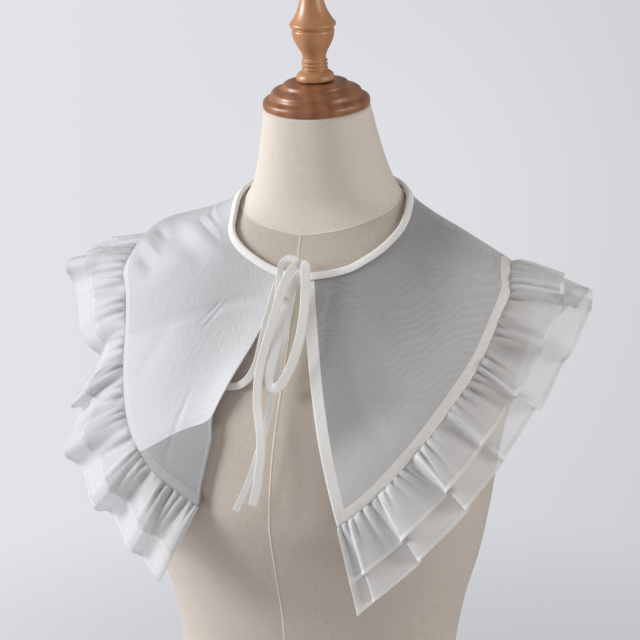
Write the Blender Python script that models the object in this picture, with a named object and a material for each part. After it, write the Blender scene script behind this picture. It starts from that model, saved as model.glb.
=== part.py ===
"""A ruffled detachable collar of sheer organza, tied on a limbless dress form.

Lengths are in metres unless a name ends in _mm. The form faces -Y and +Z is up.
The origin is the centre of the base board's underside.
"""

import math

import bmesh
import bpy
import numpy as np

MM = 0.001

for old in list(bpy.data.objects):
    bpy.data.objects.remove(old)

# The base board is an oval plank with rounded edges.
BOARD_HALF_WIDTH = 175 * MM
BOARD_HALF_DEPTH = 122 * MM
BOARD_HEIGHT = 15 * MM
BOARD_EDGE = 4 * MM

# Sections of the form. Each is an oval whose front and back halves share one width.
# Columns: height, half width, depth in front, depth behind, all in mm.
FORM_SECTIONS_MM = [
    (15.3, 163, 100, 106),
    (20, 165.5, 101.5, 108),
    (45, 168, 103, 112),
    (80, 166, 102, 111),
    (110, 160, 99, 107),
    (140, 148, 94, 100),
    (170, 134, 88, 92),
    (210, 119, 81, 82),
    (255, 126, 87, 84),
    (310, 142, 106, 90),
    (355, 151, 119, 95),
    (400, 157, 112, 99),
    (450, 167, 92, 101),
    (490, 176, 73, 100),
    (520, 177, 61, 97),
    (540, 160, 53.5, 93),
    (560, 124, 47, 89),
    (580, 86, 41, 84),
    (597, 65, 38, 79),
    (612, 56.5, 39.5, 69),
    (640, 48.8, 42.5, 54),
    (671, 42.8, 45.5, 40),
]
FORM_SQUARENESS = 2.25
FORM_SIDES = 40
NECK_TOP = 671 * MM
NECK_TILT = math.radians(8.5)
NECK_TILT_STARTS = 604 * MM

# Turned wood on the neck. Columns: radius in mm, distance along the leaning axis in mm.
CAP_PROFILE_MM = [
    (0, 0.4),
    (42.6, 0.4),
    (43.8, 2.6),
    (43.8, 6.2),
    (42.4, 8.4),
    (37.6, 9.2),
    (37.0, 13.6),
    (34.6, 15.8),
    (27.6, 16.8),
    (26.8, 20.0),
    (25.0, 21.4),
    (0, 22.0),
]
FINIAL_PROFILE_MM = [
    (0, 22.4),
    (15.6, 22.4),
    (15.8, 24.6),
    (13.6, 28.5),
    (10.6, 33.0),
    (10.0, 35.4),
    (11.0, 37.4),
    (9.4, 39.4),
    (10.3, 41.4),
    (8.6, 44.0),
    (12.0, 51.5),
    (16.0, 58.0),
    (18.0, 68.6),
    (18.9, 71.4),
    (18.8, 74.4),
    (17.2, 76.8),
    (12.4, 83.0),
    (8.2, 91.0),
    (7.8, 101.5),
    (10.0, 107.5),
    (8.6, 113.4),
    (4.8, 116.2),
    (0, 117.0),
]
TURNED_SIDES = 20

# Cloth. The panel is two layers of organza closed all round and turned.
PANEL_WALL = 1.2 * MM
RUFFLE_WALL = 1.0 * MM
SEAM_GAP = 0.4 * MM
RUFFLE_GAP = 0.8 * MM

# Distance of the cloth's middle from the form, which it rests on round the neck and shoulders.
# Columns: height, distance, both in mm.
CLOTH_CLEARANCE_MM = [
    (200, 4.0),
    (500, 4.0),
    (545, 2.9),
    (640, 2.9),
]

# Height of the neckline round the neck. The wearer's right side lies higher on the neck.
# Columns: angle from the front in degrees, height on the right side and on the left, in mm.
NECKLINE_MM = [
    (0, 541, 541),
    (13, 545.3, 543.2),
    (30, 555.5, 549),
    (41, 566, 558.3),
    (47.5, 575.5, 565),
    (53, 586, 571.2),
    (60, 592.5, 578),
    (68, 596.5, 585),
    (78, 600, 591),
    (93, 603, 596),
    (114, 605.5, 601.5),
    (130, 607, 605),
    (150, 609, 608.5),
    (180, 610, 610),
]

# The outer seam of the panel, from the front corner round to the centre of the back.
# Columns: angle of the seam, angle at the neckline where its ray starts, both in degrees,
# then the seam's height on the wearer's right side and on the left side, in mm.
OUTER_SEAM_MM = [
    (27.5, 4.5, 359, 354),
    (38, 12, 370, 375),
    (47, 20, 380, 399),
    (56, 29, 398, 427),
    (63, 38, 421, 452),
    (69, 48, 455, 476),
    (73, 57, 494, 499),
    (77.5, 67, 523, 525),
    (84, 79, 540, 541),
    (92, 91, 546, 546),
    (103, 104, 542, 542),
    (120, 121, 521, 521),
    (140, 141, 497, 497),
    (160, 160.5, 482, 482),
    (180, 180, 477, 477),
]
# The front edge on the wearer's right swings outward down to where it rides over the tie.
# Columns: height in mm, swing in degrees.
FRONT_SWING_MM = [
    (350, 1.2),
    (359, 1.2),
    (375, 2.4),
    (392, 3.5),
    (414, 5.1),
    (423, 7.2),
    (433, 8.7),
    (455, 7.7),
    (471, 6.6),
    (490, 5.1),
    (511, 3.6),
    (528, 2.0),
    (541, 0),
    (560, 0),
]
FRONT_SWING_FADE = 0.035

PANEL_RAYS = 60
PANEL_STEPS = 10

# Soft troughs and ridges of the panel.
# Columns: seam fraction round the collar, fraction from neck to seam, spread round the collar,
# spread across, and height out of the cloth in mm.
PANEL_SWELLS_MM = [
    (0.000, 0.48, 0.030, 0.20, 6.0),
    (0.225, 0.75, 0.012, 0.25, -1.6),
    (0.285, 1.00, 0.040, 0.40, 6.0),
    (0.100, 0.55, 0.030, 0.30, 2.0),
    (0.760, 0.80, 0.018, 0.25, 2.0),
    (0.860, 0.60, 0.040, 0.30, 2.2),
    (0.420, 0.75, 0.020, 0.30, 2.0),
    (0.500, 0.80, 0.020, 0.30, -1.2),
    (0.580, 0.75, 0.020, 0.30, 2.0),
]

# The two ruffles. Both are gathered into the outer seam, the shorter one on top.
UNDER_WIDTH = 67 * MM
RUFFLE_STATIONS = 180
UNDER_ROWS = (0, 0.2, 0.42, 0.66, 1)
UPPER_ROW_COUNT = 4
HEM_WAVE = 8.0 * MM
SEAM_WAVE = 0.8 * MM
TIER_GAP = 0.7 * MM
# The crests of the hem's waves lean towards the front points, over the hollows beside them.
CREST_LEAN = 4.0 * MM
BACK_TURN_SHARE = 0.06
# The folds of the ruffle. Columns: fraction along the seam, height of the crest as a share.
RUFFLE_FOLDS = [
    (0.000, 0.50),
    (0.035, 0.90),
    (0.075, 1.40),
    (0.115, 0.70),
    (0.157, 1.45),
    (0.207, 0.45),
    (0.262, 1.10),
    (0.296, 0.75),
    (0.330, 1.00),
    (0.370, 1.10),
    (0.410, 0.90),
    (0.455, 1.20),
    (0.500, 0.95),
    (0.545, 1.15),
    (0.585, 0.90),
    (0.630, 1.10),
    (0.675, 1.00),
    (0.712, 0.90),
    (0.750, 1.45),
    (0.785, 0.85),
    (0.822, 1.50),
    (0.865, 0.85),
    (0.908, 1.50),
    (0.953, 1.35),
    (0.985, 0.80),
    (1.000, 0.50),
]

# How the ruffle leaves the panel. Columns: fraction along the seam, lift out of the surface
# in degrees, droop of the hem in mm, and the width that is left between seam and hem as a
# share of UNDER_WIDTH.
RUFFLE_SET_MM = [
    (0, 9, 0, 1.00),
    (0.03, 10, 0, 0.92),
    (0.07, 12, 1, 0.84),
    (0.11, 22, 3, 0.94),
    (0.15, 12, 10, 0.84),
    (0.185, 9, 14, 0.68),
    (0.215, 14, 8, 0.86),
    (0.25, 22, 3, 0.99),
    (0.29, 26, 3, 0.97),
    (0.33, 18, 6, 0.94),
    (0.38, 14, 6, 0.92),
    (0.5, 12, 2, 0.92),
    (0.62, 14, 6, 0.92),
    (0.7, 20, 6, 0.95),
    (0.75, 32, 0, 0.99),
    (0.8, 20, 2, 0.90),
    (0.85, 12, 2, 0.82),
    (0.91, 12, 1, 0.86),
    (0.96, 10, 0, 0.90),
    (1, 9, 0, 1.00),
]
# How far the ends of the ruffle lean outward from straight down, right side then left.
END_LEAN_DEGREES = (26, 21)
END_LEAN_SHARE = 0.03

# The binding is a bias strip folded over the neck edge.
BINDING_DEPTH = 5 * MM
BINDING_TOP = 1.4 * MM
BINDING_HALF = 2.1 * MM
BINDING_INSIDE = 1.1 * MM
BINDING_END = 0.7 * MM

# The ties. Each strip's middle line is a list of points.
# Columns: across in mm, height in mm, distance in front of the resting cloth in mm.
TIE_THICKNESS = 1.6 * MM
TIE_WIDTHS_MM = {"bow_knot": 8.0, "loop_top": 5.0, "loop_right": 7.6, "loop_left": 6.0}
TIE_WIDTHS_MM |= {"tail_left": 7.0, "tail_right": 5.2}
TIE_LINES_MM = {
    "bow_knot": [
        (9.1, 546.4, 6.4),
        (7.4, 543.8, 9.2),
        (5.7, 540.6, 11.6),
        (3.6, 536.1, 12.7),
        (1.9, 531.1, 12.9),
        (-0.2, 526.3, 12.6),
    ],
    "loop_top": [
        (4.2, 552.7, 8.2),
        (0.8, 555.9, 9.4),
        (-4.1, 556.2, 10),
        (-8.1, 553.3, 10),
        (-9.7, 548, 10),
        (-9.5, 542, 10.8),
        (-8.5, 536.3, 12.6),
        (-7.5, 530.5, 14.2),
        (-7.3, 523.8, 14.7),
    ],
    "loop_right": [
        (11.2, 555.2, 14.2),
        (12.4, 552.9, 15),
        (13.5, 548.6, 15),
        (14.4, 537.8, 13.8),
        (15.4, 525.6, 12.8),
        (16, 508.7, 12.6),
        (14.2, 488, 12),
        (9.8, 472.1, 11),
        (4.2, 460.1, 9.5),
        (-2.4, 456.5, 9),
        (-7, 462, 10.5),
        (-5.3, 474.9, 12.2),
        (-3.4, 490.4, 13.2),
        (-3.1, 507.9, 13),
        (-2.2, 519.9, 11.2),
        (-0.8, 528.9, 9.8),
    ],
    "loop_left": [
        (-12.6, 536.2, 4.6),
        (-14, 525.5, 5.2),
        (-16.1, 512.6, 6.2),
        (-17.6, 501.3, 7),
        (-18.6, 488.5, 7.2),
        (-19.9, 475.5, 5.6),
        (-24.7, 464.1, 2.4),
        (-31.4, 456.7, -0.2),
        (-39.2, 454, -0.9),
        (-47.2, 453.7, -0.9),
    ],
    "tail_left": [
        (11.1, 550, 8.8),
        (8.4, 552.4, 11.4),
        (5.7, 552.4, 14.4),
        (2.9, 549.4, 16.4),
        (0.3, 544.4, 17.2),
        (-2.5, 537.4, 17.4),
        (-4.6, 528.2, 17.4),
        (-6.2, 518.3, 17.2),
        (-8.9, 502.3, 17),
        (-12.6, 485.5, 16),
        (-14.7, 470.3, 14.5),
        (-14, 455.4, 13),
        (-11.8, 442.1, 12),
        (-8, 430.7, 12),
        (-4.9, 420, 12),
        (-3.8, 403, 12),
        (-4.8, 387, 12),
        (-8, 370, 12),
    ],
    "tail_right": [
        (2.5, 538.5, 6.5),
        (2, 520, 6.5),
        (0, 495, 6.5),
        (-1.5, 470, 6),
        (-3, 452, 5.5),
        (-4, 436, 6),
        (-5, 425, 7),
        (-8, 411, 7.5),
        (-10, 399, 8),
        (-14, 385, 8),
        (-24, 363, 8),
    ],
}


def smooth_rise(xs, ys, x):
    """Value at x of a smooth curve through the rows that never overshoots them."""
    xs = np.asarray(xs, float)
    ys = np.asarray(ys, float)
    step = np.diff(xs)
    slope = np.diff(ys) / step
    bend = np.zeros_like(ys)
    for i in range(1, len(xs) - 1):
        if slope[i - 1] * slope[i] > 0:
            before = 2 * step[i] + step[i - 1]
            after = step[i] + 2 * step[i - 1]
            bend[i] = (before + after) / (before / slope[i - 1] + after / slope[i])
    bend[0] = slope[0]
    bend[-1] = slope[-1]
    x = np.clip(np.asarray(x, float), xs[0], xs[-1])
    i = np.clip(np.searchsorted(xs, x) - 1, 0, len(xs) - 2)
    t = (x - xs[i]) / step[i]
    start = ys[i] * (1 + 2 * t) * (1 - t) ** 2 + ys[i + 1] * t * t * (3 - 2 * t)
    return start + step[i] * (bend[i] * t * (1 - t) ** 2 + bend[i + 1] * t * t * (t - 1))


def column(table, number):
    return np.array([row[number] for row in table], float)


def form_section(height):
    """Half width, depth in front and depth behind of the form at each height."""
    heights = column(FORM_SECTIONS_MM, 0) * MM
    sizes = []
    for number in (1, 2, 3):
        sizes.append(smooth_rise(heights, column(FORM_SECTIONS_MM, number) * MM, height))
    return sizes


def oval(angle, half_width, front, back):
    """Point of a rounded-square oval. Angle 0 is the front and 90 degrees is +X."""
    depth = (front + back) / 2
    across = np.abs(np.sin(angle) / half_width) ** FORM_SQUARENESS
    along = np.abs(np.cos(angle) / depth) ** FORM_SQUARENESS
    reach = (across + along) ** (-1 / FORM_SQUARENESS)
    return reach * np.sin(angle), (back - front) / 2 - reach * np.cos(angle)


# Cloth hangs from the widest section above it, so its sections never narrow on the way down.
HANG_HEIGHTS = np.linspace(632 * MM, 200 * MM, 433)
HANG_CLEARANCE = np.interp(HANG_HEIGHTS, *np.transpose(CLOTH_CLEARANCE_MM) * MM)
HANG_SECTIONS = []
for size in form_section(HANG_HEIGHTS - 2 * MM):
    HANG_SECTIONS.append(np.maximum.accumulate(size + HANG_CLEARANCE))


def hang_section(height):
    return [np.interp(-np.asarray(height), -HANG_HEIGHTS, size) for size in HANG_SECTIONS]


def cloth_point(angle, height):
    """Point where cloth rests, for each angle and height."""
    x, y = oval(angle, *hang_section(height))
    return np.stack([x, y, height + 0 * x], axis=-1)


def front_point(x, height, stand_off):
    """Point a given distance in front of the resting cloth."""
    half_width, front, back = hang_section(height)
    flat = (1 - np.abs(x / half_width) ** FORM_SQUARENESS) ** (1 / FORM_SQUARENESS)
    y = (back - front) / 2 - (front + back) / 2 * flat
    return np.stack([x, y - stand_off, height + 0 * x], axis=-1)


def unit(vectors):
    return vectors / np.linalg.norm(vectors, axis=-1, keepdims=True)


def grid_normals(grid):
    """Unit normals of a grid of points, taken from its neighbours."""
    along = np.gradient(grid, axis=0)
    across = np.gradient(grid, axis=1)
    return unit(np.cross(along, across))


def add_solid(name, points, faces):
    """Adds one closed mesh with its faces turned outward."""
    mesh = bpy.data.meshes.new(name)
    mesh.from_pydata([tuple(point) for point in points], [], faces)
    shape = bmesh.new()
    shape.from_mesh(mesh)
    bmesh.ops.recalc_face_normals(shape, faces=shape.faces)
    shape.to_mesh(mesh)
    shape.free()
    solid = bpy.data.objects.new(name, mesh)
    bpy.context.scene.collection.objects.link(solid)
    return solid


def loft(rings, closed_sections=True):
    """Points and faces of a skin over rings of equal length, capped at both ends."""
    rings = np.asarray(rings)
    count, sides = rings.shape[:2]
    faces = []
    for i in range(count - 1):
        for j in range(sides):
            k = (j + 1) % sides
            faces.append((i * sides + j, i * sides + k, (i + 1) * sides + k, (i + 1) * sides + j))
    faces.append(tuple(range(sides - 1, -1, -1)))
    faces.append(tuple((count - 1) * sides + j for j in range(sides)))
    return rings.reshape(-1, 3), faces


def wall(middle, normals, thickness):
    """Points and faces of a cloth wall: the grid moved out and in by half its thickness."""
    rows, columns = middle.shape[:2]
    outer = middle + normals * thickness / 2
    inner = middle - normals * thickness / 2
    points = np.concatenate([outer.reshape(-1, 3), inner.reshape(-1, 3)])
    back = rows * columns

    def corner(i, j):
        return i * columns + j

    faces = []
    for i in range(rows - 1):
        for j in range(columns - 1):
            a, b = corner(i, j), corner(i + 1, j)
            c, d = corner(i + 1, j + 1), corner(i, j + 1)
            for face in ((a, b, c), (a, c, d)):
                faces.append(face)
                faces.append(tuple(back + n for n in reversed(face)))
    rim = [corner(i, 0) for i in range(rows)]
    rim += [corner(rows - 1, j) for j in range(1, columns)]
    rim += [corner(i, columns - 1) for i in range(rows - 2, -1, -1)]
    rim += [corner(0, j) for j in range(columns - 2, 0, -1)]
    for i, start in enumerate(rim):
        end = rim[(i + 1) % len(rim)]
        faces.append((start, back + start, back + end, end))
    return points, faces


def make_board():
    rings = []
    turn = np.linspace(0, 2 * math.pi, FORM_SIDES, endpoint=False)
    for inset, height in (
        (BOARD_EDGE, 0),
        (BOARD_EDGE * 0.3, BOARD_EDGE * 0.3),
        (0, BOARD_EDGE),
        (0, BOARD_HEIGHT - BOARD_EDGE),
        (BOARD_EDGE * 0.3, BOARD_HEIGHT - BOARD_EDGE * 0.3),
        (BOARD_EDGE, BOARD_HEIGHT),
    ):
        x, y = oval(turn, BOARD_HALF_WIDTH - inset, BOARD_HALF_DEPTH - inset, BOARD_HALF_DEPTH - inset)
        rings.append(np.stack([x, y, height + 0 * x], axis=-1))
    add_solid("base_board", *loft(rings))


def make_form():
    rings = []
    turn = np.linspace(0, 2 * math.pi, FORM_SIDES, endpoint=False)
    for row in FORM_SECTIONS_MM:
        height = row[0] * MM
        half_width, front, back = (size * MM for size in row[1:])
        x, y = oval(turn, half_width, front, back)
        tilt = max(0, height - NECK_TILT_STARTS) / (NECK_TOP - NECK_TILT_STARTS)
        rise = math.tan(NECK_TILT) * tilt * (y - (back - front) / 2)
        rings.append(np.stack([x, y, height + rise], axis=-1))
    add_solid("dress_form", *loft(rings))


def make_turned(name, profile_mm):
    """Turns a profile round the leaning axis of the neck."""
    front, back = FORM_SECTIONS_MM[-1][2:]
    foot = np.array([0, (back - front) / 2 * MM, NECK_TOP])
    axis = np.array([0, -math.sin(NECK_TILT), math.cos(NECK_TILT)])
    side = np.array([1, 0, 0])
    ahead = np.cross(axis, side)
    points = [foot + axis * profile_mm[0][1] * MM]
    turns = [2 * math.pi * i / TURNED_SIDES for i in range(TURNED_SIDES)]
    for radius, along in profile_mm[1:-1]:
        for turn in turns:
            spoke = side * math.cos(turn) + ahead * math.sin(turn)
            points.append(foot + axis * along * MM + spoke * radius * MM)
    points.append(foot + axis * profile_mm[-1][1] * MM)
    faces = []
    last = len(points) - 1
    rings = len(profile_mm) - 2
    for j in range(TURNED_SIDES):
        k = (j + 1) % TURNED_SIDES
        faces.append((0, 1 + k, 1 + j))
        top = 1 + (rings - 1) * TURNED_SIDES
        faces.append((last, top + j, top + k))
        for i in range(rings - 1):
            low = 1 + i * TURNED_SIDES
            high = low + TURNED_SIDES
            faces.append((low + j, low + k, high + k, high + j))
    add_solid(name, points, faces)


def seam_columns():
    """The outer seam table laid out from the front on one side, round the back, to the other."""
    seam = []
    for angle, start, right, left in OUTER_SEAM_MM:
        seam.append((-angle, -start, right))
    for angle, start, right, left in reversed(OUTER_SEAM_MM[:-1]):
        seam.append((-360 + angle, -360 + start, left))
    seam.sort(reverse=True)
    angles = np.array([row[0] for row in seam], float)
    starts = np.array([row[1] for row in seam], float)
    heights = np.array([row[2] for row in seam], float) * MM
    return angles, starts, heights


def make_panel_grid():
    """Rays of points from the neckline to the outer seam, evenly spaced along the seam."""
    angles, starts, heights = seam_columns()
    fine = np.linspace(-angles[0], -angles[-1], 1200)
    fine_heights = smooth_rise(-angles, heights, fine)
    fine_starts = -smooth_rise(-angles, -starts, fine)
    edge = cloth_point(np.radians(-fine), fine_heights)
    run = np.concatenate([[0], np.cumsum(np.linalg.norm(np.diff(edge, axis=0), axis=1))])
    even = np.linspace(0, run[-1], PANEL_RAYS + 1)
    seam_angle = -np.interp(even, run, fine)
    seam_height = np.interp(even, run, fine_heights)
    neck_angle = np.interp(even, run, fine_starts)
    rays = []
    for number in range(PANEL_RAYS + 1):
        fold = abs((neck_angle[number] + 180) % 360 - 180)
        side = 1 if neck_angle[number] > -180 else 2
        neck_height = smooth_rise(column(NECKLINE_MM, 0), column(NECKLINE_MM, side) * MM, fold)
        share = np.linspace(0, 1, 240)
        height = neck_height + (seam_height[number] - neck_height) * share
        angle = neck_angle[number] + (seam_angle[number] - neck_angle[number]) * share
        fade = math.exp(-number / PANEL_RAYS / FRONT_SWING_FADE)
        swing = smooth_rise(column(FRONT_SWING_MM, 0) * MM, column(FRONT_SWING_MM, 1), height)
        angle = angle - fade * swing
        line = cloth_point(np.radians(angle), height)
        length = np.concatenate([[0], np.cumsum(np.linalg.norm(np.diff(line, axis=0), axis=1))])
        steps = np.linspace(0, length[-1], PANEL_STEPS + 1)
        ray = np.stack([np.interp(steps, length, line[:, axis]) for axis in range(3)], axis=-1)
        rays.append(ray)
    grid = np.array(rays)
    normals = grid_normals(grid)
    around = np.linspace(0, 1, PANEL_RAYS + 1)[:, None]
    outward = np.linspace(0, 1, PANEL_STEPS + 1)[None, :]
    lift = np.zeros((PANEL_RAYS + 1, PANEL_STEPS + 1))
    for place, reach, spread, width, height_mm in PANEL_SWELLS_MM:
        bump = ((around - place) / spread) ** 2 + ((outward - reach) / width) ** 2
        lift += height_mm * MM * np.exp(-bump)
    return grid + normals * (lift * outward**0.5)[..., None]


def make_panel(grid):
    normals = grid_normals(grid)
    add_solid("collar_panel", *wall(grid, normals, PANEL_WALL))
    return normals


def along_line(line, share):
    """Points at each share of the length of a line of points."""
    run = np.concatenate([[0], np.cumsum(np.linalg.norm(np.diff(line, axis=0), axis=1))])
    return np.stack([np.interp(share * run[-1], run, line[:, axis]) for axis in range(3)], axis=-1)


def smoothed(rows, times):
    """Rows averaged with their neighbours, the ends kept."""
    rows = rows.copy()
    for _ in range(times):
        rows[1:-1] = (rows[:-2] + 2 * rows[1:-1] + rows[2:]) / 4
    return rows


def make_ruffles(grid, normals):
    """The long ruffle from the panel's outer edge, and the short one from the long one's points."""
    share = np.linspace(0, 1, RUFFLE_STATIONS + 1)
    edge = along_line(grid[:, -1], share)
    out = unit(along_line_values(grid[:, -1], smoothed(normals[:, -1], 12), share))
    tangent = unit(smoothed(np.gradient(edge, axis=0), 40))
    away = unit(np.cross(out, tangent))
    inward = edge - along_line(grid[:, -2], share)
    away *= np.sign(np.sum(away * inward, axis=1))[:, None]
    for end, lean in ((0, END_LEAN_DEGREES[0]), (1, END_LEAN_DEGREES[1])):
        angle = math.radians(lean)
        side = -1 if end == 0 else 1
        straight = np.array([side * math.sin(angle), -0.05, -math.cos(angle)])
        near = np.exp(-((np.abs(share - end) / END_LEAN_SHARE) ** 2))[:, None]
        away = unit(away * (1 - near) + straight * near)
    places = column(RUFFLE_SET_MM, 0)
    lift = np.radians(smooth_rise(places, column(RUFFLE_SET_MM, 1), share))[:, None]
    droop = smooth_rise(places, column(RUFFLE_SET_MM, 2), share)[:, None] * MM
    width = smooth_rise(places, column(RUFFLE_SET_MM, 3), share)[:, None] * UNDER_WIDTH
    heading = away * np.cos(lift) + out * np.sin(lift)
    face = out * np.cos(lift) - away * np.sin(lift)
    crests = column(RUFFLE_FOLDS, 0)
    phase = smooth_rise(crests, 2 * math.pi * np.arange(len(crests)), share)[:, None]
    height = smooth_rise(crests, column(RUFFLE_FOLDS, 1), share)[:, None]
    to_point = np.tanh((share - 0.5) / BACK_TURN_SHARE)[:, None]
    lean = tangent * to_point * CREST_LEAN

    reach = np.array(UNDER_ROWS, float)[None, :]
    grown = SEAM_WAVE + (HEM_WAVE - SEAM_WAVE) * reach**0.8
    pucker = np.sin(2 * phase + 0.7)
    offset = height * np.cos(phase) * grown + SEAM_WAVE * pucker * (1 - reach)
    base = edge[:, None] + heading[:, None] * RUFFLE_GAP
    under = base + heading[:, None] * (width * reach)[..., None]
    under = under + face[:, None] * offset[..., None]
    under = under + lean[:, None] * (height * np.cos(phase) * reach)[..., None]
    under[..., 2] -= droop * reach**2
    under_normals = grid_normals(under)
    under_normals *= np.sign(np.sum(under_normals * face[:, None], axis=-1))[..., None]
    add_solid("ruffle_under", *wall(under, under_normals, RUFFLE_WALL))

    upper_normals = under_normals[:, :UPPER_ROW_COUNT]
    upper = under[:, :UPPER_ROW_COUNT] + upper_normals * (RUFFLE_WALL + TIER_GAP)
    add_solid("ruffle_upper", *wall(upper, upper_normals, RUFFLE_WALL))


def along_line_values(line, values, share):
    """Values given at a line's points, read at each share of its length."""
    run = np.concatenate([[0], np.cumsum(np.linalg.norm(np.diff(line, axis=0), axis=1))])
    return np.stack([np.interp(share * run[-1], run, values[:, axis]) for axis in range(3)], axis=-1)


def make_binding(grid, normals):
    """A strip folded over the panel's neck edge, with the edge inside the fold."""
    profile = [
        (BINDING_DEPTH, BINDING_HALF),
        (-BINDING_TOP * 0.55, BINDING_HALF),
        (-BINDING_TOP, BINDING_HALF * 0.55),
        (-BINDING_TOP, -BINDING_HALF * 0.55),
        (-BINDING_TOP * 0.55, -BINDING_HALF),
        (BINDING_DEPTH, -BINDING_HALF),
        (BINDING_DEPTH, -BINDING_INSIDE),
        (-SEAM_GAP, -BINDING_INSIDE),
        (-SEAM_GAP, BINDING_INSIDE),
        (BINDING_DEPTH, BINDING_INSIDE),
    ]
    fall = grid[:, 1] - grid[:, 0]
    ray_step = np.linalg.norm(fall, axis=1, keepdims=True)
    fall = fall / ray_step
    onward = unit(np.gradient(grid[:, 0], axis=0))
    past_end = np.zeros((len(grid), 1))
    past_end[0] = -BINDING_END
    past_end[-1] = BINDING_END
    rings = np.empty((len(grid), len(profile), 3))
    for number, (along, high) in enumerate(profile):
        share = max(along, 0) / ray_step
        out = unit(normals[:, 0] * (1 - share) + normals[:, 1] * share)
        rings[:, number] = grid[:, 0] + fall * along + out * high + onward * past_end
    add_solid("neck_binding", *loft(rings))


def strap_rings(line, width, thickness):
    """Rings of a flat strip that follows a line, its broad side facing forward."""
    share = np.linspace(0, 1, 2 * len(line) - 1)
    rows = np.arange(len(line)) / (len(line) - 1)
    path = np.stack([np.interp(share, rows, line[:, axis]) for axis in range(3)], axis=-1)
    path = smoothed(path, 2)
    heading = unit(np.gradient(path, axis=0))
    forward = np.array([0.25, -1, 0.2])
    broad = unit(np.cross(heading, forward))
    face = unit(np.cross(broad, heading))
    half = width / 2
    thin = thickness / 2
    outline = [
        (-half, -thin * 0.4),
        (-half, thin * 0.4),
        (-half * 0.72, thin),
        (half * 0.72, thin),
        (half, thin * 0.4),
        (half, -thin * 0.4),
        (half * 0.72, -thin),
        (-half * 0.72, -thin),
    ]
    return [[p + b * a + f * c for a, c in outline] for p, b, f in zip(path, broad, face)]


def make_bow():
    for name, rows in TIE_LINES_MM.items():
        table = np.array(rows, float) * MM
        line = front_point(table[:, 0], table[:, 1], table[:, 2])
        add_solid(name, *loft(strap_rings(line, TIE_WIDTHS_MM[name] * MM, TIE_THICKNESS)))


make_board()
make_form()
make_turned("neck_cap", CAP_PROFILE_MM)
make_turned("finial", FINIAL_PROFILE_MM)
panel_grid = make_panel_grid()
panel_normals = make_panel(panel_grid)
make_ruffles(panel_grid, panel_normals)
make_binding(panel_grid, panel_normals)
make_bow()
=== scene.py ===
# %% [markdown]
# # A ruffled organza collar on its dress form
# The collar is a sheer cape with pointed fronts, a gathered ruffle in two tiers and a bow of
# narrow ties. It lies on a linen dress form with a turned wooden cap. The solids of the part
# give every size and place. This lesson dresses them: each piece is made again as smooth, thin
# cloth or turned wood on the same form, and gets its own material.

# %% Open the frame
import math

import bmesh
import bpy
import numpy as np
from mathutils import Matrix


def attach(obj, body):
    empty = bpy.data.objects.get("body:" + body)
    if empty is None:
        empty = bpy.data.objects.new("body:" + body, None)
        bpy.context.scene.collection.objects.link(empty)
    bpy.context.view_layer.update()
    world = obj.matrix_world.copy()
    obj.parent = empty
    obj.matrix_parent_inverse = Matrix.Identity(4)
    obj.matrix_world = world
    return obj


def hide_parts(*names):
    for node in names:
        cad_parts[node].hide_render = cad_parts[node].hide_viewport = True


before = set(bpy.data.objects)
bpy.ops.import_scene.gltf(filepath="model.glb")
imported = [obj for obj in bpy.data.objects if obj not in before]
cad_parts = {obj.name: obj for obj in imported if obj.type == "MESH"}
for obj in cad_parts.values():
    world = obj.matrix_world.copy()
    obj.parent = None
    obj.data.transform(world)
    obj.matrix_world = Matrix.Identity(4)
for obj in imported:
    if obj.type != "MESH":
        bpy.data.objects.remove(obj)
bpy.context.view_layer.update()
MM = 0.001
FULL_TURN = 2 * math.pi
BODY = "root"
print("solids:", sorted(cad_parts))

# %% [markdown]
# ## The camera
# The photo looks a little down at the form from its left side, with a long lens. The place and
# the lens come from the size of the neck cap and from the two front points, which hang level.
# A crop of a wider lens would also frame it, but the real distance keeps the right perspective.

# %% Place the camera
VIEW_TURN = math.radians(19)
VIEW_RISE = math.radians(12)
VIEW_DISTANCE = 1.7
PIXELS_PER_METRE = 1200
FRAME_PIXELS = 640
SENSOR_MM = 36
AIM = np.array([0.0016, 0.0005, 0.493])

back = np.array([
    math.sin(VIEW_TURN) * math.cos(VIEW_RISE),
    -math.cos(VIEW_TURN) * math.cos(VIEW_RISE),
    math.sin(VIEW_RISE),
])
camera_data = bpy.data.cameras.new("portrait_camera")
camera_data.sensor_width = SENSOR_MM
camera_data.lens = SENSOR_MM * PIXELS_PER_METRE * VIEW_DISTANCE / FRAME_PIXELS
camera = bpy.data.objects.new("portrait_camera", camera_data)
bpy.context.scene.collection.objects.link(camera)
camera.location = AIM + back * VIEW_DISTANCE
camera.rotation_euler = (math.pi / 2 - VIEW_RISE, 0, VIEW_TURN)
bpy.context.scene.camera = camera
print("lens in mm:", round(camera_data.lens, 1))

# %% [markdown]
# ## The form's curves, shared by everything
# Cloth follows what is under it, so the form comes first. Its sections are ovals with a front
# and a back depth. A smooth curve through the table gives the section at any height. The cloth
# hangs from the widest section above it, a few millimetres clear of the linen.

# %% Curves of the form
FORM_SECTIONS_MM = [
    (15.3, 163, 100, 106), (20, 165.5, 101.5, 108), (45, 168, 103, 112), (80, 166, 102, 111),
    (110, 160, 99, 107), (140, 148, 94, 100), (170, 134, 88, 92), (210, 119, 81, 82),
    (255, 126, 87, 84), (310, 142, 106, 90), (355, 151, 119, 95), (400, 157, 112, 99),
    (450, 167, 92, 101), (490, 176, 73, 100), (520, 177, 61, 97), (540, 160, 53.5, 93),
    (560, 124, 47, 89), (580, 86, 41, 84), (597, 65, 38, 79), (612, 56.5, 39.5, 69),
    (640, 48.8, 42.5, 54), (671, 42.8, 45.5, 40),
]
FORM_SQUARENESS = 2.25
NECK_TOP = 671 * MM
NECK_TILT = math.radians(8.5)
NECK_TILT_STARTS = 604 * MM
CLOTH_CLEARANCE_MM = [(200, 4.0), (500, 4.0), (545, 2.9), (640, 2.9)]


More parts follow.
